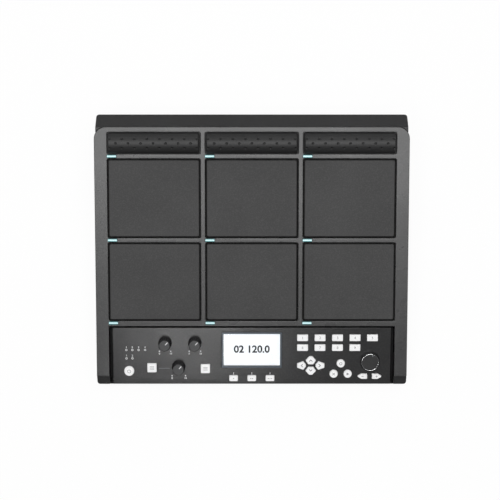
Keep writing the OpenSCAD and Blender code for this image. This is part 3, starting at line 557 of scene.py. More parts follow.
@dataclass(frozen=True)
class Slope:
    """A sloped face of the object: across in x, along from its rear edge, and up from the face."""

    rear_y: float
    rear_z: float
    degrees: float

    def matrix(self, x: float = 0.0, along: float = 0.0, up: float = 0.0) -> Matrix:
        """Gives the placement of a spot on the slope.

        Args:
            x: place across, in mm.
            along: distance from the rear edge, in mm.
            up: height over the face, in mm.

        Returns:
            A matrix from metres on the slope to the frame.
        """
        corner = Matrix.Translation(Vector((0.0, self.rear_y, self.rear_z)) * MM)
        turn = Matrix.Rotation(math.radians(self.degrees), 4, "X")
        return corner @ turn @ Matrix.Translation(Vector((x, -along, up)) * MM)

    def back(self) -> Matrix:
        """Gives the matrix from the frame to metres on the slope."""
        return self.matrix().inverted()

    def span(self, node: str) -> tuple[Vector, Vector]:
        """Gives a CAD node's lowest and highest x, along and up on the slope.

        Args:
            node: the CAD node.

        Returns:
            Both corners, in mm.
        """
        back = self.back()
        spots = [back @ vertex.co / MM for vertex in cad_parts[node].data.vertices]
        return corners([Vector((s.x, -s.y, s.z)) for s in spots])

    def middle(self, node: str) -> Place:
        """Gives a CAD node's middle across and along, and its top, on the slope in mm."""
        low, high = self.span(node)
        return (low.x + high.x) / 2, (low.y + high.y) / 2, high.z

    def solids(self, node: str) -> list[Vector]:
        """Gives the middle of each separate solid of a CAD node, in metres on the slope."""
        back = self.back()
        return [back @ ((low + high) / 2) for low, high in islands(node)]

    def cuts(self, spots: list[Point]) -> list[Plane]:
        """Gives the planes across and along the slope through each spot, each plane once.

        Args:
            spots: places across and along, in mm.

        Returns:
            A spot and a normal for each plane.
        """
        across, along = ({round(value, 2) for value in values} for values in zip(*spots))
        turned = self.matrix().to_3x3()
        planes = [(self.matrix(x).translation, turned @ Vector(X_AXIS)) for x in sorted(across)]
        planes += [(self.matrix(0.0, v).translation, turned @ Vector(Y_AXIS)) for v in sorted(along)]
        return planes


DECK = Slope(136.381, 80.0, 7.4)
PANEL = Slope(-87.156, 48.688, 12.0)
REAR = Slope(0.0, 0.0, -90.0)


def new_object(name: str, data: ID) -> Object:
    """Links a new object at the origin.

    Args:
        name: its name.
        data: its mesh, curve, lamp or camera.

    Returns:
        The object.
    """
    thing = bpy.data.objects.new(name, data)
    bpy.context.scene.collection.objects.link(thing)
    return thing


def add_piece(name: str, mesh: Mesh, *finishes: Finish) -> Object:
    """Makes a piece of a mesh that is already in place.

    Args:
        name: the piece's name.
        mesh: its mesh.
        finishes: the finishes of its material slots, in order.

    Returns:
        The piece.
    """
    mesh.materials.clear()
    for finish in finishes:
        mesh.materials.append(finish.material())
    return new_object(name, mesh)


def baked(piece: Object, matrix: Matrix | None = None) -> Mesh:
    """Turns an object and its modifiers into a plain mesh, and removes the object.

    Args:
        piece: the object.
        matrix: where the mesh is put, if it isn't in place yet.

    Returns:
        The new mesh.
    """
    graph = bpy.context.evaluated_depsgraph_get()
    final = piece.evaluated_get(graph)
    mesh = bpy.data.meshes.new_from_object(final, preserve_all_data_layers=True, depsgraph=graph)
    bpy.data.objects.remove(piece)
    if matrix is not None:
        mesh.transform(matrix)
    return mesh


def settle(piece: Object, body: str, slot: str, *nodes: str) -> Object:
    """Hangs a finished piece on its body.

    Args:
        piece: the finished piece.
        body: the CAD body that it moves with.
        slot: the record's material slot that it takes its finish from.
        nodes: CAD nodes that it stands for.

    Returns:
        The same piece.
    """
    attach(piece, body)
    if nodes:
        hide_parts(*nodes)
    LOG.info("%s: %d faces on %s", piece.name, len(piece.data.polygons), body)
    return piece


def clean_copy(node: str, *cuts: Plane) -> bmesh.types.BMesh:
    """Copies a CAD node's mesh, with its loose triangles merged into whole faces.

    Args:
        node: the CAD node.
        cuts: planes that part its faces, one through each opening, so that no face has a hole.

    Returns:
        The copy.
    """
    shape = bmesh.new()
    shape.from_mesh(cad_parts[node].data)
    bmesh.ops.remove_doubles(shape, verts=shape.verts, dist=WELD)
    for spot, normal in cuts:
        whole = [*shape.verts, *shape.edges, *shape.faces]
        parted = bmesh.ops.bisect_plane(shape, geom=whole, plane_co=spot, plane_no=normal)
        for part in parted["geom_cut"]:
            if isinstance(part, bmesh.types.BMEdge):
                part.seam = True
    bmesh.ops.dissolve_limit(shape, angle_limit=FLAT, verts=shape.verts, edges=shape.edges, delimit={"SEAM"})
    for edge in shape.edges:
        edge.seam = False
    return shape


def islands(node: str) -> list[tuple[Vector, Vector]]:
    """Finds the separate solids of a CAD node.

    Args:
        node: the CAD node.

    Returns:
        The lowest and highest corner of each solid, from left to right and then from front to rear.
    """
    shape = clean_copy(node)
    left = set(shape.verts)
    boxes = []
    while left:
        queue = [left.pop()]
        spots = []
        while queue:
            vertex = queue.pop()
            spots.append(vertex.co.copy())
            near = {edge.other_vert(vertex) for edge in vertex.link_edges} & left
            left -= near
            queue.extend(near)
        boxes.append(corners(spots))
    shape.free()
    return sorted(boxes, key=lambda box: tuple(box[0]))


def rounded_copy(node: str, name: str, width: float, finish: Finish, *cuts: Plane, segments: int = 2,
                 slope: Slope | None = None) -> Object:
    """Copies a CAD node and rounds its sharp outer edges, which get the edge attribute.

    Args:
        node: the CAD node.
        name: the new piece's name.
        width: width of the rounding, in mm.
        finish: the piece's finish.
        cuts: planes that part its faces, one through each opening.
        segments: faces across a rounding.
        slope: the slope whose edges alone are rounded; without it all sharp outer edges are.

    Returns:
        The new piece.
    """
    shape = clean_copy(node, *cuts)
    for face in shape.faces:
        face.smooth = True
        face.material_index = 0
    back = slope.back() if slope else Matrix()
    weight = shape.edges.layers.float.new("bevel_weight_edge")
    for edge in shape.edges:
        on_slope = slope is None or all((back @ vertex.co).z > -SLOPE_EDGE * MM for vertex in edge.verts)
        edge[weight] = float(on_slope and edge.is_convex and edge.calc_face_angle(0.0) > SHARP)
    mesh = bpy.data.meshes.new(name)
    shape.to_mesh(mesh)
    shape.free()
    # Faces of the rounding take the second slot, until the edge attribute marks them.
    draft = add_piece(name + "_draft", mesh, finish, finish)
    rounding = draft.modifiers.new("rounding", "BEVEL")
    rounding.width = width * MM
    rounding.segments = segments
    rounding.limit_method = "WEIGHT"
    rounding.use_clamp_overlap = False
    rounding.loop_slide = False
    rounding.material = 1
    draft.modifiers.new("flat_faces", "WEIGHTED_NORMAL")
    solid = baked(draft)
    solid.name = name
    rubbed = solid.attributes.new("edge", "FLOAT", "FACE")
    rubbed.data.foreach_set("value", [float(face.material_index == 1) for face in solid.polygons])
    for face in solid.polygons:
        face.material_index = 0
    return add_piece(name, solid, finish)


def recolour(piece: Object, slope: Slope, finish: Finish, low: float = -math.inf,
             high: float = math.inf) -> None:
    """Gives part of a piece a second finish.

    Args:
        piece: the piece.
        slope: the slope that heights are measured from.
        finish: the second finish.
        low: height in mm that faces must lie over.
        high: height in mm that faces must lie under.
    """
    piece.data.materials.append(finish.material())
    back = slope.back()
    for face in piece.data.polygons:
        if low < (back @ face.center).z / MM < high:
            face.material_index = 1


def on_circle(radius: float, degrees: float) -> Point:
    """Gives the point of a circle about the origin at an angle from the right."""
    return radius * math.cos(math.radians(degrees)), radius * math.sin(math.radians(degrees))


class Marks:
    """Flat printed marks, drawn in millimetres and turned into one thin piece."""

    WELD = 1e-4
    RING_STEPS = 28
    DOT_STEPS = 20
    CORNER_STEPS = 6
    FONT_SHARE = 1.42
    FONT_STEPS = 4

    def __init__(self) -> None:
        """Starts with no marks."""
        self.shape = bmesh.new()

    def polygon(self, points: list[Point], centre: Point = (0.0, 0.0), turn: float = 0.0) -> None:
        """Adds a filled outline.

        Args:
            points: its corners, about its middle.
            centre: where its middle goes.
            turn: its turn in degrees.
        """
        c, s = on_circle(1.0, turn)
        spots = [(centre[0] + c * x - s * y, centre[1] + s * x + c * y, 0.0) for x, y in points]
        self.shape.faces.new([self.shape.verts.new(spot) for spot in spots])

    def bar(self, centre: Point, size: Point, turn: float = 0.0) -> None:
        """Adds a bar of a length and a width."""
        x, y = size[0] / 2, size[1] / 2
        self.polygon([(-x, -y), (x, -y), (x, y), (-x, y)], centre, turn)

    def dot(self, centre: Point, radius: float) -> None:
        """Adds a round dot."""
        turns = [360.0 * i / self.DOT_STEPS for i in range(self.DOT_STEPS)]
        self.polygon([on_circle(radius, turn) for turn in turns], centre)

    def ring(self, centre: Point, radius: float, width: float, arc: Point = (0.0, 360.0)) -> None:
        """Adds a ring or an arc.

        Args:
            centre: its middle.
            radius: its outer radius.
            width: width of its line.
            arc: where it starts, in degrees from the right, and how far it goes round.
        """
        for i in range(self.RING_STEPS):
            first, last = (arc[0] + arc[1] * (i + k) / self.RING_STEPS for k in (0, 1))
            ends = ((radius - width, first), (radius, first), (radius, last), (radius - width, last))
            self.polygon([on_circle(*end) for end in ends], centre)

    def digits(self, centre: Point, text: str, height: float, weight: float = 0.0) -> None:
        """Adds plain digits.

        Args:
            centre: their middle.
            text: the digits.
            height: their height.
            weight: how far their lines are thickened on each side.
        """
        curve = bpy.data.curves.new("digits", "FONT")
        curve.body = text
        curve.size = height * self.FONT_SHARE
        curve.offset = weight
        curve.align_x = "CENTER"
        curve.align_y = "CENTER"
        curve.resolution_u = self.FONT_STEPS
        mesh = baked(new_object("digits", curve), Matrix.Translation((*centre, 0.0)))
        self.shape.from_mesh(mesh)
        bpy.data.meshes.remove(mesh)

    @classmethod
    def rounded(cls, wide: float, deep: float, radius: float) -> list[Point]:
        """Gives a rectangle's outline with round corners, about its middle.

        Args:
            wide: its width.
            deep: its depth.
            radius: radius of its corners.

        Returns:
            Its points.
        """
        points = []
        for corner, (side, end) in enumerate(((1, 1), (-1, 1), (-1, -1), (1, -1))):
            for step in range(cls.CORNER_STEPS + 1):
                x, y = on_circle(radius, 90.0 * (corner + step / cls.CORNER_STEPS))
                points.append((side * (wide / 2 - radius) + x, end * (deep / 2 - radius) + y))
        return points

    def lay(self, name: str, matrix: Matrix, finish: Finish, body: str, slot: str,
            thickness: float = 0.06) -> None:
        """Gives the marks a thickness, lays them on a face and hangs them on its body.

        Args:
            name: the new piece's name.
            matrix: the placement of the face.
            finish: the piece's finish.
            body: the CAD body that it moves with.
            slot: the record's material slot.
            thickness: its height over the face, in mm.
        """
        bmesh.ops.remove_doubles(self.shape, verts=self.shape.verts, dist=self.WELD)
        raised = bmesh.ops.extrude_face_region(self.shape, geom=self.shape.faces[:])
        lifted = [item for item in raised["geom"] if isinstance(item, bmesh.types.BMVert)]
        bmesh.ops.translate(self.shape, verts=lifted, vec=(0.0, 0.0, thickness))
        bmesh.ops.recalc_face_normals(self.shape, faces=self.shape.faces[:])
        mesh = bpy.data.meshes.new(name)
        self.shape.to_mesh(mesh)
        self.shape.free()
        mesh.transform(matrix @ Matrix.Scale(MM, 4))
        settle(add_piece(name, mesh, finish), body, slot)


class Pattern(Group):
    """A Geometry Nodes tree with named inputs, whose result becomes a plain mesh."""

    def __init__(self, name: str, lengths: dict[str, float], others: dict[str, float] | None = None) -> None:
        """Makes the tree and its inputs.

        Args:
            name: the tree's name.
            lengths: inputs in mm, with their values.
            others: inputs in radians or shares, with their values.
        """
        self.sizes = {label: value * MM for label, value in lengths.items()} | (others or {})
        inputs = {"Geometry": "Geometry", **dict.fromkeys(self.sizes, "Float"), "Finish": "Material"}
        super().__init__(name, "GeometryNodeTree", inputs, {"Geometry": "Geometry"})

    def xyz(self, **parts: object) -> Socket:
        """Gives a vector of its parts X, Y and Z."""
        return self.get("ShaderNodeCombineXYZ", 0, parts)

    def circle(self, radius: str, steps: int) -> Socket:
        """Gives a circle whose radius an input holds."""
        values = {"Resolution": steps, "Radius": self.entry[radius]}
        return self.get("GeometryNodeCurvePrimitiveCircle", 0, values, mode="RADIUS")

    def rectangle(self, wide: str, high: str) -> Socket:
        """Gives a rectangle whose sizes two inputs hold."""
        values = {"Width": self.entry[wide], "Height": self.entry[high]}
        return self.get("GeometryNodeCurvePrimitiveQuadrilateral", 0, values)

    def ring(self, outline: Socket, steps: int) -> Socket:
        """Carries an outline round a circle of the input Radius."""
        values = {"Curve": self.circle("Radius", steps), "Profile Curve": outline}
        return self.get("GeometryNodeCurveToMesh", 0, values)

    def block(self, *labels: str) -> Socket:
        """Gives a block about the origin whose three sizes inputs hold."""
        extent = self.xyz(**dict(zip("XYZ", (self.entry[label] for label in labels))))
        return self.get("GeometryNodeMeshCube", "Mesh", {"Size": extent})

    def extrude(self, mesh: Socket, length: str, **values: object) -> NodeOutputs:
        """Raises faces as one region by the length that an input holds, and gives the node's outputs."""
        region = {"Offset": self.xyz(Z=1.0), "Offset Scale": self.entry[length], "Individual": False}
        return self.add("GeometryNodeExtrudeMesh", {"Mesh": mesh, **region, **values}).outputs

    def move(self, geometry: Socket, **values: object) -> Socket:
        """Moves a shape by its Translation, Rotation or Scale."""
        return self.get("GeometryNodeTransform", 0, {"Geometry": geometry, **values})

    def store(self, geometry: Socket, name: str, value: Socket, domain: str) -> Socket:
        """Keeps a number on each point or face of a shape, for its finish."""
        values = {"Geometry": geometry, "Name": name, "Value": value}
        return self.get("GeometryNodeStoreNamedAttribute", 0, values, data_type="FLOAT", domain=domain)

    def join(self, *parts: Socket) -> Socket:
        """Joins shapes.

        Args:
            parts: the shapes.

        Returns:
            The joined shape.
        """
        node = self.add("GeometryNodeJoinGeometry")
        for part in parts:
            self.feed(node, {0: part})
        return node.outputs[0]

    def weld(self, geometry: Socket) -> Socket:
        """Merges points that lie on each other."""
        return self.get("GeometryNodeMergeByDistance", 0, {"Geometry": geometry, "Distance": WELD})

    def smooth(self, geometry: Socket, soft: bool) -> Socket:
        """Shades a shape smooth, or flat."""
        return self.get("GeometryNodeSetShadeSmooth", 0, {"Geometry": geometry, "Shade Smooth": soft})

    def close(self, geometry: Socket) -> None:
        """Ends the tree: instances are made real and get their material.

        Args:
            geometry: what the tree makes.
        """
        real = self.get("GeometryNodeRealizeInstances", 0, {0: geometry})
        values = {"Geometry": real, "Material": self.entry["Finish"]}
        self.feed(self.exit, {"Geometry": self.get("GeometryNodeSetMaterial", 0, values)})

    def repeat(self, shape: Socket, soft: bool) -> None:
        """Ends the tree with a smooth or a flat shape on every point that comes in."""
        values = {"Points": self.entry["Geometry"], "Instance": self.smooth(shape, soft)}
        self.close(self.get("GeometryNodeInstanceOnPoints", 0, values))

    def grow(self, name: str, points: list[Vector], matrix: Matrix, finish: Finish) -> Object:
        """Runs the tree on some points.

        Args:
            name: the new piece's name.
            points: points that the tree starts from, in metres.
            matrix: where the result is put.
            finish: its finish.

        Returns:
            The new piece.
        """
        seed = bpy.data.meshes.new(name)
        seed.from_pydata(points, [], [])
        draft = new_object(name + "_draft", seed)
        run = draft.modifiers.new("pattern", "NODES")
        run.node_group = self.tree
        for label, value in self.sizes.items():
            run[self.keys[label]] = value
        run[self.keys["Finish"]] = finish.material()
        mesh = baked(draft, matrix)
        mesh.name = name
        return add_piece(name, mesh, finish)


@dataclass
class CaseAssembly:
    """Deck, case, base plate, feet, base screws and the plugs of the front wall."""

    deck_rounding: float = 0.6
    case_rounding: float = 0.48
    base_rounding: float = 0.4
    foot_rounding: float = 0.8
    screw_rounding: float = 0.2
    plug_size: Place = (6.2, 1.9, 7.7)
    plug_middle: Place = (157.4, -150.5, 30.1)

    def build(self) -> None:
        """Builds and dresses the outer pieces, with cuts through the window for the jacks."""
        pieces = (
            ("case_shell", "case_moulding", self.case_rounding, Finish.CASE, "case_plastic"),
            ("base_plate", "base_sheet", self.base_rounding, Finish.BASE, "base_metal"),
            ("rubber_feet", "foot_mouldings", self.foot_rounding, Finish.FOOT, "foot_rubber"),
            ("base_screws", "base_screw_set", self.screw_rounding, Finish.STEEL, "screw_steel"),
        )
        (low, high), = islands("jack_plate")
        cuts = [((low + high) / 2, Vector(axis)) for axis in (Z_AXIS, X_AXIS)]
        for node, name, width, finish, slot in pieces:
            settle(rounded_copy(node, name, width, finish, *cuts), HOUSING, slot, node)
        self.build_deck()
        self.build_plugs()

    def build_deck(self) -> None:
        """Builds the deck, cut through each of its openings before its edges are rounded."""
        fields = [f"{kind}_{column}" for kind in ("bar", "pad_rear", "pad_front") for column in COLUMNS]
        spots = [DECK.middle(node)[:2] for node in fields]
        spots += [(spot.x / MM, -spot.y / MM) for spot in DECK.solids("pad_lights")]
        cuts = DECK.cuts(spots)
        piece = rounded_copy("top_deck", "deck_moulding", self.deck_rounding, Finish.DECK, *cuts, slope=DECK)
        settle(piece, HOUSING, "deck_plastic", "top_deck")

    def build_plugs(self) -> None:
        """Builds the two plugs that close the front wall where the grooves beside the panel end."""
        sides = ("Width", "Depth", "Height")
        tree = Pattern("groove_plugs", dict(zip(sides, self.plug_size)))
        tree.repeat(tree.block(*sides), soft=False)
        x, y, z = self.plug_middle
        points = [Vector((side * x, y, z)) * MM for side in (-1, 1)]
        settle(tree.grow("groove_plugs", points, Matrix(), Finish.CASE), HOUSING, "case_plastic")


@dataclass
class TriggerBar:
    """Sizes of a rubber trigger bar, and the tree that makes it."""

    length: float = 101.5
    radius: float = 11.6
    axis_drop: float = 2.0
    end_rounding: float = 2.0
    sweep: float = 200.0
    dimple_pitch: float = 13.8
    dimple_angle: float = 26.5
    dimple_radius: float = 1.3
    dimple_depth: float = 0.8
    dimple_slope: float = 1.8
    flange_top: float = -3.2
    flange_bottom: float = -5.0
    columns: int = 301
    rows: int = 121
    straight_end: float = 0.9
    round_end: float = 0.96

    def tree(self, flange: Point) -> Pattern:
        """Builds the tree: a round-ended half rod with staggered dimples, on a flat flange.

        Args:
            flange: the flange's width and depth, in mm.

        Returns:
            The tree.
        """
        tree = Pattern("trigger_bar", {
            "Length": self.length, "Radius": self.radius, "End Rounding": self.end_rounding,
            "Dimple Pitch": self.dimple_pitch, "Dimple Radius": self.dimple_radius,
            "Dimple Depth": self.dimple_depth, "Flange Width": flange[0], "Flange Depth": flange[1],
            "Flange Height": self.flange_top - self.flange_bottom,
            "Flange Drop": (self.flange_top + self.flange_bottom) / 2 + self.axis_drop,
        }, {"Sweep": math.radians(self.sweep), "Dimple Angle": math.radians(self.dimple_angle)})
        size = tree.entry
        # The grid runs from -1 to 1 along the rod and from -0.5 to 0.5 round it.
        values = {"Size X": 2.0, "Size Y": 1.0, "Vertices X": self.columns, "Vertices Y": self.rows}
        grid = tree.get("GeometryNodeMeshGrid", "Mesh", values)
        spot = tree.get("GeometryNodeInputPosition", 0)
        across = tree.add("ShaderNodeSeparateXYZ", {0: spot}).outputs
        along, radius = self.profile(tree, across["X"])
        angle = tree.math("MULTIPLY", across["Y"], size["Sweep"])
        dent = self.dimples(tree, along, angle)
        dented = tree.math("SUBTRACT", radius, tree.math("MULTIPLY", dent, size["Dimple Depth"]))
        last_row = 0.5 - 1.0 / (self.rows - 1)
        closed = tree.remap(tree.math("ABSOLUTE", across["Y"]), (last_row, 0.5), (1.0, 0.0))
        reach = tree.math("MULTIPLY", dented, closed)
        side, crown = (tree.math("MULTIPLY", reach, tree.math(wave, angle)) for wave in ("SINE", "COSINE"))
        # The dent is kept as the attribute dimple, from which the bar's finish paints shade into the
        # dimples.
        marked = tree.store(grid, "dimple", dent, "POINT")
        place = tree.xyz(X=along, Y=side, Z=crown)
        rod = tree.get("GeometryNodeSetPosition", 0, {"Geometry": marked, "Position": place})
        slab = tree.block("Flange Width", "Flange Depth", "Flange Height")
        slab = tree.move(slab, Translation=tree.xyz(Z=size["Flange Drop"]))
        tree.close(tree.join(tree.smooth(tree.weld(rod), True), tree.smooth(slab, False)))
        return tree

    def profile(self, tree: Pattern, place: Socket) -> tuple[Socket, Socket]:
        """Gives the rod's outline from end to end: flat cap, rounded edge, straight side.

        Args:
            tree: the tree.
            place: place along the grid, from -1 to 1.

        Returns:
            Place along the rod, and its radius there.
        """
        rounding = tree.entry["End Rounding"]
        reach = tree.math("ABSOLUTE", place)
        half = tree.math("MULTIPLY", tree.entry["Length"], 0.5)
        limit = tree.math("SUBTRACT", half, rounding)
        straight = tree.remap(reach, (0.0, self.straight_end), (0.0, limit))
        turn = tree.remap(reach, (self.straight_end, self.round_end), (0.0, math.pi / 2))
        cap = tree.remap(reach, (self.round_end, 1.0), (1.0, 0.0))
        out = tree.math("MULTIPLY_ADD", tree.math("SINE", turn), rounding, straight)
        inner = tree.math("SUBTRACT", tree.entry["Radius"], rounding)
        radius = tree.math("MULTIPLY_ADD", tree.math("COSINE", turn), rounding, inner)
        return tree.math("MULTIPLY", out, tree.math("SIGN", place)), tree.math("MULTIPLY", radius, cap)

    def dimples(self, tree: Pattern, along: Socket, angle: Socket) -> Socket:
        """Gives the depth of the dimples: three rows, the outer two set half a pitch over.

        Args:
            tree: the tree.
            along: place along the rod.
            angle: angle from the crown.

        Returns:
            The share of the full depth, from 0 to 1.
        """
        pitch, step, rim = (tree.entry[f"Dimple {label}"] for label in ("Pitch", "Angle", "Radius"))
        row = tree.math("ROUND", tree.math("DIVIDE", angle, step))
        row = tree.math("MAXIMUM", tree.math("MINIMUM", row, 1.0), -1.0)
        shift = tree.math("MULTIPLY", tree.math("ABSOLUTE", row), 0.5)
        steps = tree.math("SUBTRACT", tree.math("DIVIDE", along, pitch), shift)
        off_step = tree.math("SUBTRACT", steps, tree.math("ROUND", steps))
        length = tree.math("MULTIPLY", off_step, pitch)
        off_row = tree.math("SUBTRACT", angle, tree.math("MULTIPLY", row, step))
        width = tree.math("MULTIPLY", off_row, tree.entry["Radius"])
        squares = [tree.math("MULTIPLY", value, value) for value in (length, width, rim)]
        share = tree.math("DIVIDE", tree.math("ADD", *squares[:2]), squares[2])
        return tree.math("MULTIPLY", tree.math("SUBTRACT", 1.0, share), self.dimple_slope, clamp=True)


@dataclass
class PlayingField:
    """Six pads, three trigger bars and nine lights."""

    pad_rounding: float = 0.3
    gap_depth: float = 0.8
    light_size: Point = (10.2, 2.8)
    light_corner: float = 0.5
    light_corner_steps: int = 4
    light_depth: float = 3.0
    light_rise: float = 0.1
    light_core: float = 0.62
    bar: TriggerBar = field(default_factory=TriggerBar)

    def build(self) -> None:
        """Builds and dresses the playing field."""
        for column in COLUMNS:
            for row in ("rear", "front"):
                node = f"pad_{row}_{column}"
                piece = rounded_copy(node, f"{node}_rubber", self.pad_rounding, Finish.PAD)
                # Pad faces deeper than gap_depth in the gap get near-black: painted shade between pad and
                # deck.
                recolour(piece, DECK, Finish.GAP_SHADE, high=-self.gap_depth)
                settle(piece, HOUSING, "pad_rubber", node)
            self.build_bar(f"bar_{column}")
        self.build_lights()

    def build_bar(self, node: str) -> None:
        """Builds one trigger bar.

        Args:
            node: the CAD node that it stands for.
        """
        low, high = DECK.span(node)
        tree = self.bar.tree((high.x - low.x, high.y - low.y))
        place = DECK.matrix(*DECK.middle(node)[:2], -self.bar.axis_drop)
        settle(tree.grow(f"{node}_rubber", [Vector()], place, Finish.BAR), HOUSING, "bar_rubber", node)

    def build_lights(self) -> None:
        """Builds the nine lenses, each with a bright core and dimmer flanks."""
        tree = Pattern("light_lenses", {
            "Width": self.light_size[0], "Depth": self.light_size[1], "Corner": self.light_corner,
            "Height": self.light_depth, "Rise": self.light_rise,
        }, {"Core Share": self.light_core})
        outline = tree.get("GeometryNodeFilletCurve", 0, {
            "Curve": tree.rectangle("Width", "Depth"), "Radius": tree.entry["Corner"],
            "Count": self.light_corner_steps,
        }, mode="POLY")
        plate = tree.get("GeometryNodeFillCurve", 0, {"Curve": outline}, mode="NGONS")
        raised = tree.extrude(plate, "Height")
        lid = tree.extrude(raised["Mesh"], "Rise", Selection=raised["Top"])
        narrow = tree.get("GeometryNodeScaleElements", 0, {
            "Geometry": lid["Mesh"], "Selection": lid["Top"], "Scale": tree.entry["Core Share"],
            "Axis": Y_AXIS,
        }, scale_mode="SINGLE_AXIS")
        marked = tree.store(narrow, "core", lid["Top"], "FACE")
        under = tree.get("GeometryNodeFlipFaces", 0, {"Mesh": plate})
        tree.repeat(tree.weld(tree.join(marked, under)), soft=False)
        foot = (DECK.span("pad_lights")[1].z - self.light_rise - self.light_depth) * MM
        points = [Vector((spot.x, spot.y, foot)) for spot in DECK.solids("pad_lights")]
        piece = tree.grow("light_lenses", points, DECK.matrix(), Finish.LENS)
        settle(piece, HOUSING, "light_lens", "pad_lights")


@dataclass
class ControlPanel:
    """The lower panel with its print and its display."""

    rounding: float = 0.4
    screen_size: Point = (63.8, 37.3)
    screen_corner: float = 0.6
    screen_v: float = 26.1
    screen_drop: float = 2.7
    screen_digits: str = "02 120.0"
    digit_height: float = 8.2
    digit_weight: float = 0.32
    digit_lift: float = 0.05
    film: float = 0.04
    module_rounding: float = 0.2
    window_rounding: float = 0.15
    window_drop: float = 0.1
    border_gap: float = 0.06
    border_corner: float = 1.0
    knob_dots: dict[str, Point] = field(default_factory=lambda: {
        "knob_left": (6.4, 9.6), "knob_right": (6.4, 9.6), "knob_front": (7.6, 10.6)})
    knob_digits_gap: float = 3.0
    dot_radius: float = 0.75
    print_height: float = 2.0
    print_weight: float = 0.1
    inlet_x: tuple[float, ...] = (-141.7, -135.0, -127.9, -120.6)
    inlet_rows: tuple[tuple[float, int], ...] = ((26.0, 4), (35.8, 2))
    inlet_digits: float = 3.2
    ring_radius: float = 0.95
    ring_line: float = 0.32
    ring_flatness: float = 0.25
    ring_steps: tuple[int, int] = (24, 6)
    tick_size: Point = (0.6, 2.6)
    tick_gap: float = 5.4
    link_line: Place = (-105.0, -93.0, 47.5)
    link_width: float = 0.5

    def build(self) -> None:
        """Builds and dresses the panel."""
        through = [*KeyField().signs(), *KNOBS, "dial", "display_window"]
        cuts = PANEL.cuts([PANEL.middle(node)[:2] for node in through])
        piece = rounded_copy("control_panel", "panel_moulding", self.rounding, Finish.PANEL, *cuts,
                             slope=PANEL)
        settle(piece, HOUSING, "panel_plastic", "control_panel")
        self.build_print()
        self.build_inlet_rings()
        self.build_display()

    def inlets(self) -> list[tuple[int, float, float]]:
        """Gives the number and the place of each printed inlet."""
        return [(i + 1, self.inlet_x[i], -v) for v, count in self.inlet_rows for i in range(count)]

    def build_print(self) -> None:
        """Prints the dots, digits and lines on the panel."""
        white = Marks()
        for knob in KNOBS:
            x, v, _ = PANEL.middle(knob)
            aside, ahead = self.knob_dots[knob]
            for side, text in ((-aside, "0"), (aside, "10")):
                white.dot((x + side, -v - ahead), self.dot_radius)
                spot = (x + side, -v - ahead - self.knob_digits_gap)
                white.digits(spot, text, self.print_height, self.print_weight)
        for number, x, y in self.inlets():
            white.digits((x, y + self.inlet_digits), str(number), self.print_height, self.print_weight)
        for i in (1, 2, 3):
            x, v, _ = PANEL.middle(f"function_key_{i}")
            white.bar((x, -v + self.tick_gap), self.tick_size)
        white.lay("panel_print_white", PANEL.matrix(), Finish.WHITE_INK, HOUSING, "panel_plastic")
        grey = Marks()
        start, end, v = self.link_line
        grey.bar(((start + end) / 2, -v), (end - start, self.link_width))
        grey.lay("panel_print_grey", PANEL.matrix(), Finish.GREY_INK, HOUSING, "panel_plastic")

    def build_inlet_rings(self) -> None:
        """Prints a small ring under each inlet number."""
        round_steps, line_steps = self.ring_steps
        tree = Pattern("inlet_rings", {"Radius": self.ring_radius, "Line": self.ring_line})
        ring = tree.ring(tree.circle("Line", line_steps), round_steps)
        tree.repeat(tree.move(ring, Scale=(1.0, 1.0, self.ring_flatness)), soft=True)
        points = [Vector((x, y, 0.0)) * MM for _, x, y in self.inlets()]
        piece = tree.grow("inlet_rings", points, PANEL.matrix(), Finish.WHITE_INK)
        settle(piece, HOUSING, "panel_plastic")

    def build_display(self) -> None:
        """Builds the lit screen, its digits, the window and the window's printed border."""
        module = rounded_copy("display_module", "display_case", self.module_rounding, Finish.BORDER)
        settle(module, HOUSING, "display_screen", "display_module")
        screen = Marks()
        outline = screen.rounded(*self.screen_size, self.screen_corner)
        screen.polygon(outline)
        face = PANEL.matrix(0.0, self.screen_v, -self.screen_drop)
        screen.lay("display_screen_lit", face, Finish.SCREEN, HOUSING, "display_screen")
        dark = Marks()
        dark.digits((0.0, 0.0), self.screen_digits, self.digit_height, self.digit_weight)
        over = PANEL.matrix(0.0, self.screen_v, self.digit_lift - self.screen_drop)
        dark.lay("display_digits", over, Finish.DARK_INK, HOUSING, "display_screen", self.film)
        window = rounded_copy("display_window", "display_glass", self.window_rounding, Finish.GLASS)
        settle(window, HOUSING, "window_glass", "display_window")
        self.build_border(outline)

    def build_border(self, inner: list[Point]) -> None:
        """Builds the printed border on the window.

        Args:
            inner: outline of the lit screen, which the border leaves free.
        """
        low, high = PANEL.span("display_window")
        wide, deep = (high[i] - low[i] - self.border_gap for i in (0, 1))
        border = Marks()
        outer = border.rounded(wide, deep, self.border_corner)
        for quad in zip(outer, outer[1:] + outer[:1], inner[1:] + inner[:1], inner):
            border.polygon(list(quad))
        top = PANEL.matrix(0.0, self.screen_v, -self.window_drop)
        border.lay("window_border", top, Finish.BORDER, HOUSING, "window_glass", self.film)


class Symbol(Enum):
    """What is printed on a key."""

    DIGIT = auto()
    CHEVRON = auto()
    DOTS = auto()
    LINES = auto()
    POWER = auto()
    RING = auto()
    CROSS = auto()
    PLAY = auto()
    MINUS = auto()
    PLUS = auto()


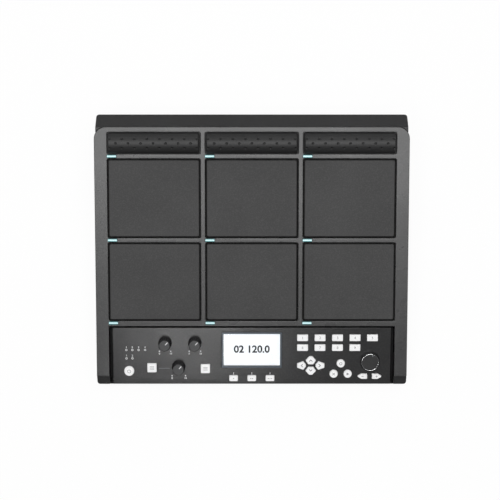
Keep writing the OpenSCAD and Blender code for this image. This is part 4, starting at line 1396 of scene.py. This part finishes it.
@dataclass
class KeyField:
    """All white keys and the grey signs on them."""

    rounding: float = 0.45
    segments: int = 3
    line: float = 0.5
    print_drop: float = 0.02
    print_thickness: float = 0.05
    digit_height: float = 3.0
    chevron_half: Point = (1.8, 0.9)
    chevron_line: float = 1.2
    chevron_lift: float = 0.3
    dot_pitch: float = 1.9
    dot_radius: float = 0.55
    line_pitch: float = 1.5
    line_length: float = 5.0
    power_radius: float = 2.1
    power_drop: float = 0.2
    power_arc: Point = (120.0, 300.0)
    power_bar: Point = (1.2, 2.0)
    ring_radius: float = 1.7
    cross_length: float = 4.0
    play_corners: tuple[Point, ...] = ((-1.2, -1.6), (1.8, 0.0), (-1.2, 1.6))
    sum_length: float = 2.6

    @staticmethod
    def signs() -> dict[str, tuple[Symbol, float]]:
        """Lists the signs.

        Returns:
            Each key's sign, with a number or a turn that goes with it.
        """
        keys = {f"menu_key_1_{i}": (Symbol.DIGIT, i) for i in range(1, 6)}
        keys |= {f"menu_key_2_{i}": (Symbol.DIGIT, i + 5) for i in range(1, 5)}
        arrows = enumerate(("up", "left", "down", "right"))
        keys |= {f"arrow_key_{name}": (Symbol.CHEVRON, 90.0 * quarter) for quarter, name in arrows}
        keys |= {f"function_key_{i}": (Symbol.DOTS, i) for i in range(1, 4)}
        keys |= {f"square_key_{side}": (Symbol.LINES, 3) for side in ("left", "right")}
        keys |= {"round_key_top": (Symbol.RING, 0), "round_key_left": (Symbol.CROSS, 0)}
        keys |= {"round_key_right": (Symbol.PLAY, 0), "power_key": (Symbol.POWER, 0)}
        keys |= {"step_key_left": (Symbol.MINUS, 0), "step_key_right": (Symbol.PLUS, 0)}
        return keys

    def build(self) -> None:
        """Builds and dresses every key."""
        for node, (symbol, number) in self.signs().items():
            cap = rounded_copy(node, f"{node}_cap", self.rounding, Finish.KEY, segments=self.segments)
            settle(cap, node, "key_plastic", node)
            x, v, top = PANEL.middle(node)
            face = PANEL.matrix(x, v, top - self.print_drop)
            sign = self.draw(symbol, number)
            sign.lay(f"{node}_print", face, Finish.KEY_INK, node, "key_plastic", self.print_thickness)

    @staticmethod
    def steps(count: int) -> list[float]:
        """Gives places that lie one apart, about the middle."""
        return [i - (count - 1) / 2 for i in range(count)]

    def draw(self, symbol: Symbol, number: float) -> Marks:
        """Draws a key's sign about the key's middle.

        Args:
            symbol: which sign.
            number: its digit, its count or its turn.

        Returns:
            The marks.
        """
        marks = Marks()
        middle = (0.0, 0.0)
        if symbol is Symbol.DIGIT:
            marks.digits(middle, str(number), self.digit_height)
        elif symbol is Symbol.CHEVRON:
            x, y = self.chevron_half
            over = [(x, -y), (0.0, y), (-x, -y)]
            under = [(a, b - self.chevron_line) for a, b in reversed(over)]
            marks.polygon(under + over, (0.0, self.chevron_lift), number)
        elif symbol is Symbol.DOTS:
            for step in self.steps(number):
                marks.dot((step * self.dot_pitch, 0.0), self.dot_radius)
        elif symbol is Symbol.LINES:
            for step in self.steps(number):
                marks.bar((0.0, step * self.line_pitch), (self.line_length, self.line))
        elif symbol is Symbol.POWER:
            lift, length = self.power_bar
            marks.ring((0.0, -self.power_drop), self.power_radius, self.line, self.power_arc)
            marks.bar((0.0, lift), (self.line, length))
        elif symbol is Symbol.RING:
            marks.ring(middle, self.ring_radius, self.line)
        elif symbol is Symbol.CROSS:
            for turn in (45.0, 135.0):
                marks.bar(middle, (self.cross_length, self.line), turn)
        elif symbol is Symbol.PLAY:
            marks.polygon(list(self.play_corners))
        else:
            marks.bar(middle, (self.sum_length, self.line))
            if symbol is Symbol.PLUS:
                marks.bar(middle, (self.line, self.sum_length))
        return marks


@dataclass
class TurningControls:
    """Three knobs with pointers, and the dial with its bright trim ring."""

    rounding: float = 0.14
    pointer_reach: Point = (1.5, 5.3)
    pointer_width: float = 0.8
    pointer_turn: float = -42.0
    pointer_drop: float = 0.05
    mark_depth: float = 0.4
    trim_radius: float = 9.4
    trim_line: float = 0.34
    trim_drop: float = 0.38
    trim_steps: tuple[int, int] = (96, 10)
    dial_mark_reach: float = 7.9
    dial_mark_turn: float = -19.0
    dial_mark_radius: float = 0.6
    dial_mark_drop: float = 0.1

    def build(self) -> None:
        """Builds and dresses the knobs and the dial."""
        for node in KNOBS:
            place = PANEL.middle(node)
            piece = self.build_grip(node, place, self.pointer_turn, Finish.KNOB_BLACK_AND_SIDE_SHADE)
            # Only the tops get the lighter grey; the black left on the sides is partly painted shade on the
            # side walls.
            recolour(piece, PANEL, Finish.KNOB_TOP, low=place[2] - self.mark_depth / 2)
            self.build_pointer(node, place)
        place = PANEL.middle("dial")
        self.build_grip("dial", place, self.dial_mark_turn, Finish.DIAL)
        self.build_dial_trim(place)

    def build_grip(self, node: str, place: Place, turn: float, finish: Finish) -> Object:
        """Builds a grip, cut through the mark in its top before its edges are rounded.

        Args:
            node: its CAD node and body.
            place: its middle across and along, and its top.
            turn: the mark's turn from the rear, in degrees.
            finish: its finish.

        Returns:
            The grip.
        """
        spot = PANEL.matrix(*place)
        cut = (spot.translation, spot.to_3x3() @ Vector((*on_circle(1.0, turn), 0.0)))
        piece = rounded_copy(node, f"{node}_grip", self.rounding, finish, cut)
        return settle(piece, node, "knob_plastic", node)

    def build_pointer(self, node: str, place: Place) -> None:
        """Builds the pale pointer in a knob's slot.

        Args:
            node: the knob's body.
            place: its middle across and along, and its top.
        """
        x, v, top = place
        start, end = self.pointer_reach
        pointer = Marks()
        pointer.bar(((start + end) / 2, 0.0), (end - start, self.pointer_width))
        turn = Matrix.Rotation(math.radians(90.0 + self.pointer_turn), 4, "Z")
        floor = PANEL.matrix(x, v, top - self.mark_depth) @ turn
        height = self.mark_depth - self.pointer_drop
        pointer.lay(f"{node}_pointer", floor, Finish.WHITE_INK, node, "knob_plastic", height)

    def build_dial_trim(self, place: Place) -> None:
        """Builds the trim ring and the finger mark of the dial.

        Args:
            place: the dial's middle across and along, and its top.
        """
        x, v, top = place
        round_steps, line_steps = self.trim_steps
        tree = Pattern("trim_ring", {"Radius": self.trim_radius, "Line": self.trim_line})
        tree.repeat(tree.ring(tree.circle("Line", line_steps), round_steps), soft=True)
        seat = PANEL.matrix(x, v, top - self.trim_drop)
        settle(tree.grow("dial_trim_ring", [Vector()], seat, Finish.CHROME), "dial", "knob_plastic")
        mark = Marks()
        mark.dot(on_circle(self.dial_mark_reach, 90.0 + self.dial_mark_turn), self.dial_mark_radius)
        floor = PANEL.matrix(x, v, top - self.mark_depth)
        height = self.mark_depth - self.dial_mark_drop
        mark.lay("dial_mark", floor, Finish.GREY_INK, "dial", "knob_plastic", height)


@dataclass
class RearSockets:
    """Jack plate, jacks with bright liners, and the power and data sockets."""

    plate_rounding: float = 0.3
    socket_rounding: float = 0.15
    liner_radius: float = 3.22
    liner_wall: float = 0.05
    liner_length: float = 9.0
    liner_drop: float = 0.6
    liner_steps: int = 48
    bright_rim: float = 151.4

    def build(self) -> None:
        """Builds and dresses the rear sockets."""
        pieces = (
            ("jack_plate", "jack_plate_moulding", self.plate_rounding),
            ("quarter_inch_jacks", "jack_mouldings", self.socket_rounding),
            ("small_sockets", "socket_mouldings", self.socket_rounding),
        )
        for node, name, width in pieces:
            piece = rounded_copy(node, name, width, Finish.SOCKET)
            if node == "quarter_inch_jacks":
                recolour(piece, REAR, Finish.NICKEL, low=self.bright_rim)
            settle(piece, HOUSING, "socket_plastic", node)
        self.build_liners()

    def build_liners(self) -> None:
        """Builds the bright liner in each jack's bore."""
        tree = Pattern("jack_liners", {
            "Radius": self.liner_radius, "Wall": self.liner_wall, "Length": self.liner_length})
        tube = tree.ring(tree.rectangle("Wall", "Length"), self.liner_steps)
        tree.repeat(tree.move(tube, Rotation=(math.pi / 2, 0.0, 0.0)), soft=False)
        points = []
        for low, high in islands("quarter_inch_jacks"):
            depth = high.y - (self.liner_drop + self.liner_length / 2) * MM
            points.append(Vector(((low.x + high.x) / 2, depth, (low.z + high.z) / 2)))
        settle(tree.grow("jack_liners", points, Matrix(), Finish.NICKEL), HOUSING, "control_metal")


class Inside:
    """The pieces inside, which keep their CAD shapes and get finishes."""

    FINISHES = {
        "main_board": Finish.BOARD, "control_board": Finish.BOARD, "board_screws": Finish.STEEL,
        "pad_chassis": Finish.SHEET, "pad_plates": Finish.SHEET, "pad_foams": Finish.FOAM,
        "piezo_discs": Finish.BRASS, "bar_cores": Finish.CORE, "keypad_mats": Finish.MAT,
        "rotary_control_bodies": Finish.NICKEL, "display_carrier": Finish.CORE,
    }

    def dress(self) -> None:
        """Gives each inner piece its finish."""
        for node, finish in self.FINISHES.items():
            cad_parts[node].material_slots[0].material = finish.material()
            LOG.info("%s: %s", node, finish.value.name)


@dataclass(frozen=True)
class SoftBox:
    """A soft light, with its place, size and target in metres and its power in watts."""

    name: str
    place: Place
    size: Point
    power: float
    target: Place

    def build(self) -> None:
        """Builds the light and turns it to its target."""
        lamp = bpy.data.lights.new(self.name, "AREA")
        lamp.shape = "RECTANGLE"
        lamp.size, lamp.size_y = self.size
        lamp.energy = self.power
        stand = new_object(self.name, lamp)
        stand.location = self.place
        aim = Vector(self.target) - Vector(self.place)
        stand.rotation_euler = aim.to_track_quat("-Z", "Y").to_euler()


@dataclass
class Studio:
    """Floor, lights, world and the camera straight above."""

    camera_place: Place = (-2.0, 0.45, 1722.5)
    camera_lens: float = 106.97
    floor_size: float = 12000.0
    floor_colour: Colour = (0.9, 0.9, 0.9)
    world_level: float = 0.13
    white_share: float = 0.94
    lights: tuple[SoftBox, ...] = (
        SoftBox("overhead", (-0.02, 0.1, 2.1), (1.5, 1.2), 37.2, (-0.02, 0.1, 0.0)),
        SoftBox("front_left", (-0.15, -0.97, 1.9), (0.24, 0.24), 2.38, (-0.06, -0.1, 0.05)),
        SoftBox("rear", (-0.1, 1.8, 1.3), (1.6, 0.8), 9.1, (0.0, 0.0, 0.05)),
    )

    def build(self) -> None:
        """Builds the studio."""
        self.build_camera()
        self.build_world()
        self.build_floor()
        for light in self.lights:
            light.build()
        bpy.context.scene.view_settings.view_transform = "Standard"

    def build_camera(self) -> None:
        """Builds the camera, which looks straight down."""
        camera = bpy.data.cameras.new("overhead_camera")
        camera.lens = self.camera_lens
        stand = new_object("overhead_camera", camera)
        stand.location = Vector(self.camera_place) * MM
        bpy.context.scene.camera = stand

    def build_world(self) -> None:
        """Builds a soft grey surround that the camera sees as white."""
        world = bpy.data.worlds.new("studio_surround")
        world.use_nodes = True
        world.node_tree.nodes.clear()
        graph = Graph(world.node_tree)
        seen = graph.get("ShaderNodeLightPath", "Is Camera Ray")
        level = graph.remap(seen, (0.0, 1.0), (self.world_level, 1.0))
        light = graph.get("ShaderNodeBackground", 0, {"Color": shade(WHITE), "Strength": level})
        graph.add("ShaderNodeOutputWorld", {"Surface": light})
        bpy.context.scene.world = world

    def build_floor(self) -> None:
        """Builds a pale floor that looks white to the camera and keeps the shadow."""
        half = self.floor_size / 2 * MM
        mesh = bpy.data.meshes.new("studio_floor")
        edges = [(-half, -half, 0.0), (half, -half, 0.0), (half, half, 0.0), (-half, half, 0.0)]
        mesh.from_pydata(edges, [], [(0, 1, 2, 3)])
        paint = Paint("floor_paper")
        path = paint.add("ShaderNodeLightPath").outputs
        paper = paint.get("ShaderNodeBsdfDiffuse", 0, {"Color": shade(self.floor_colour)})
        white = paint.get("ShaderNodeEmission", 0, {"Color": shade(WHITE)})
        seen = paint.math("MAXIMUM", path["Is Camera Ray"], path["Is Transmission Ray"])
        share = paint.math("MULTIPLY", seen, self.white_share)
        blend = paint.get("ShaderNodeMixShader", 0, {0: share, 1: paper, 2: white})
        mesh.materials.append(paint.cover(blend))
        floor = new_object("studio_floor", mesh)


def main() -> None:
    """Builds the studio and every sub-assembly, in order."""
    logging.basicConfig(level=logging.INFO, format="%(name)s %(message)s")
    Studio().build()
    CaseAssembly().build()
    PlayingField().build()
    ControlPanel().build()
    KeyField().build()
    TurningControls().build()
    RearSockets().build()
    Inside().dress()


if __name__ == "__main__":
    main()
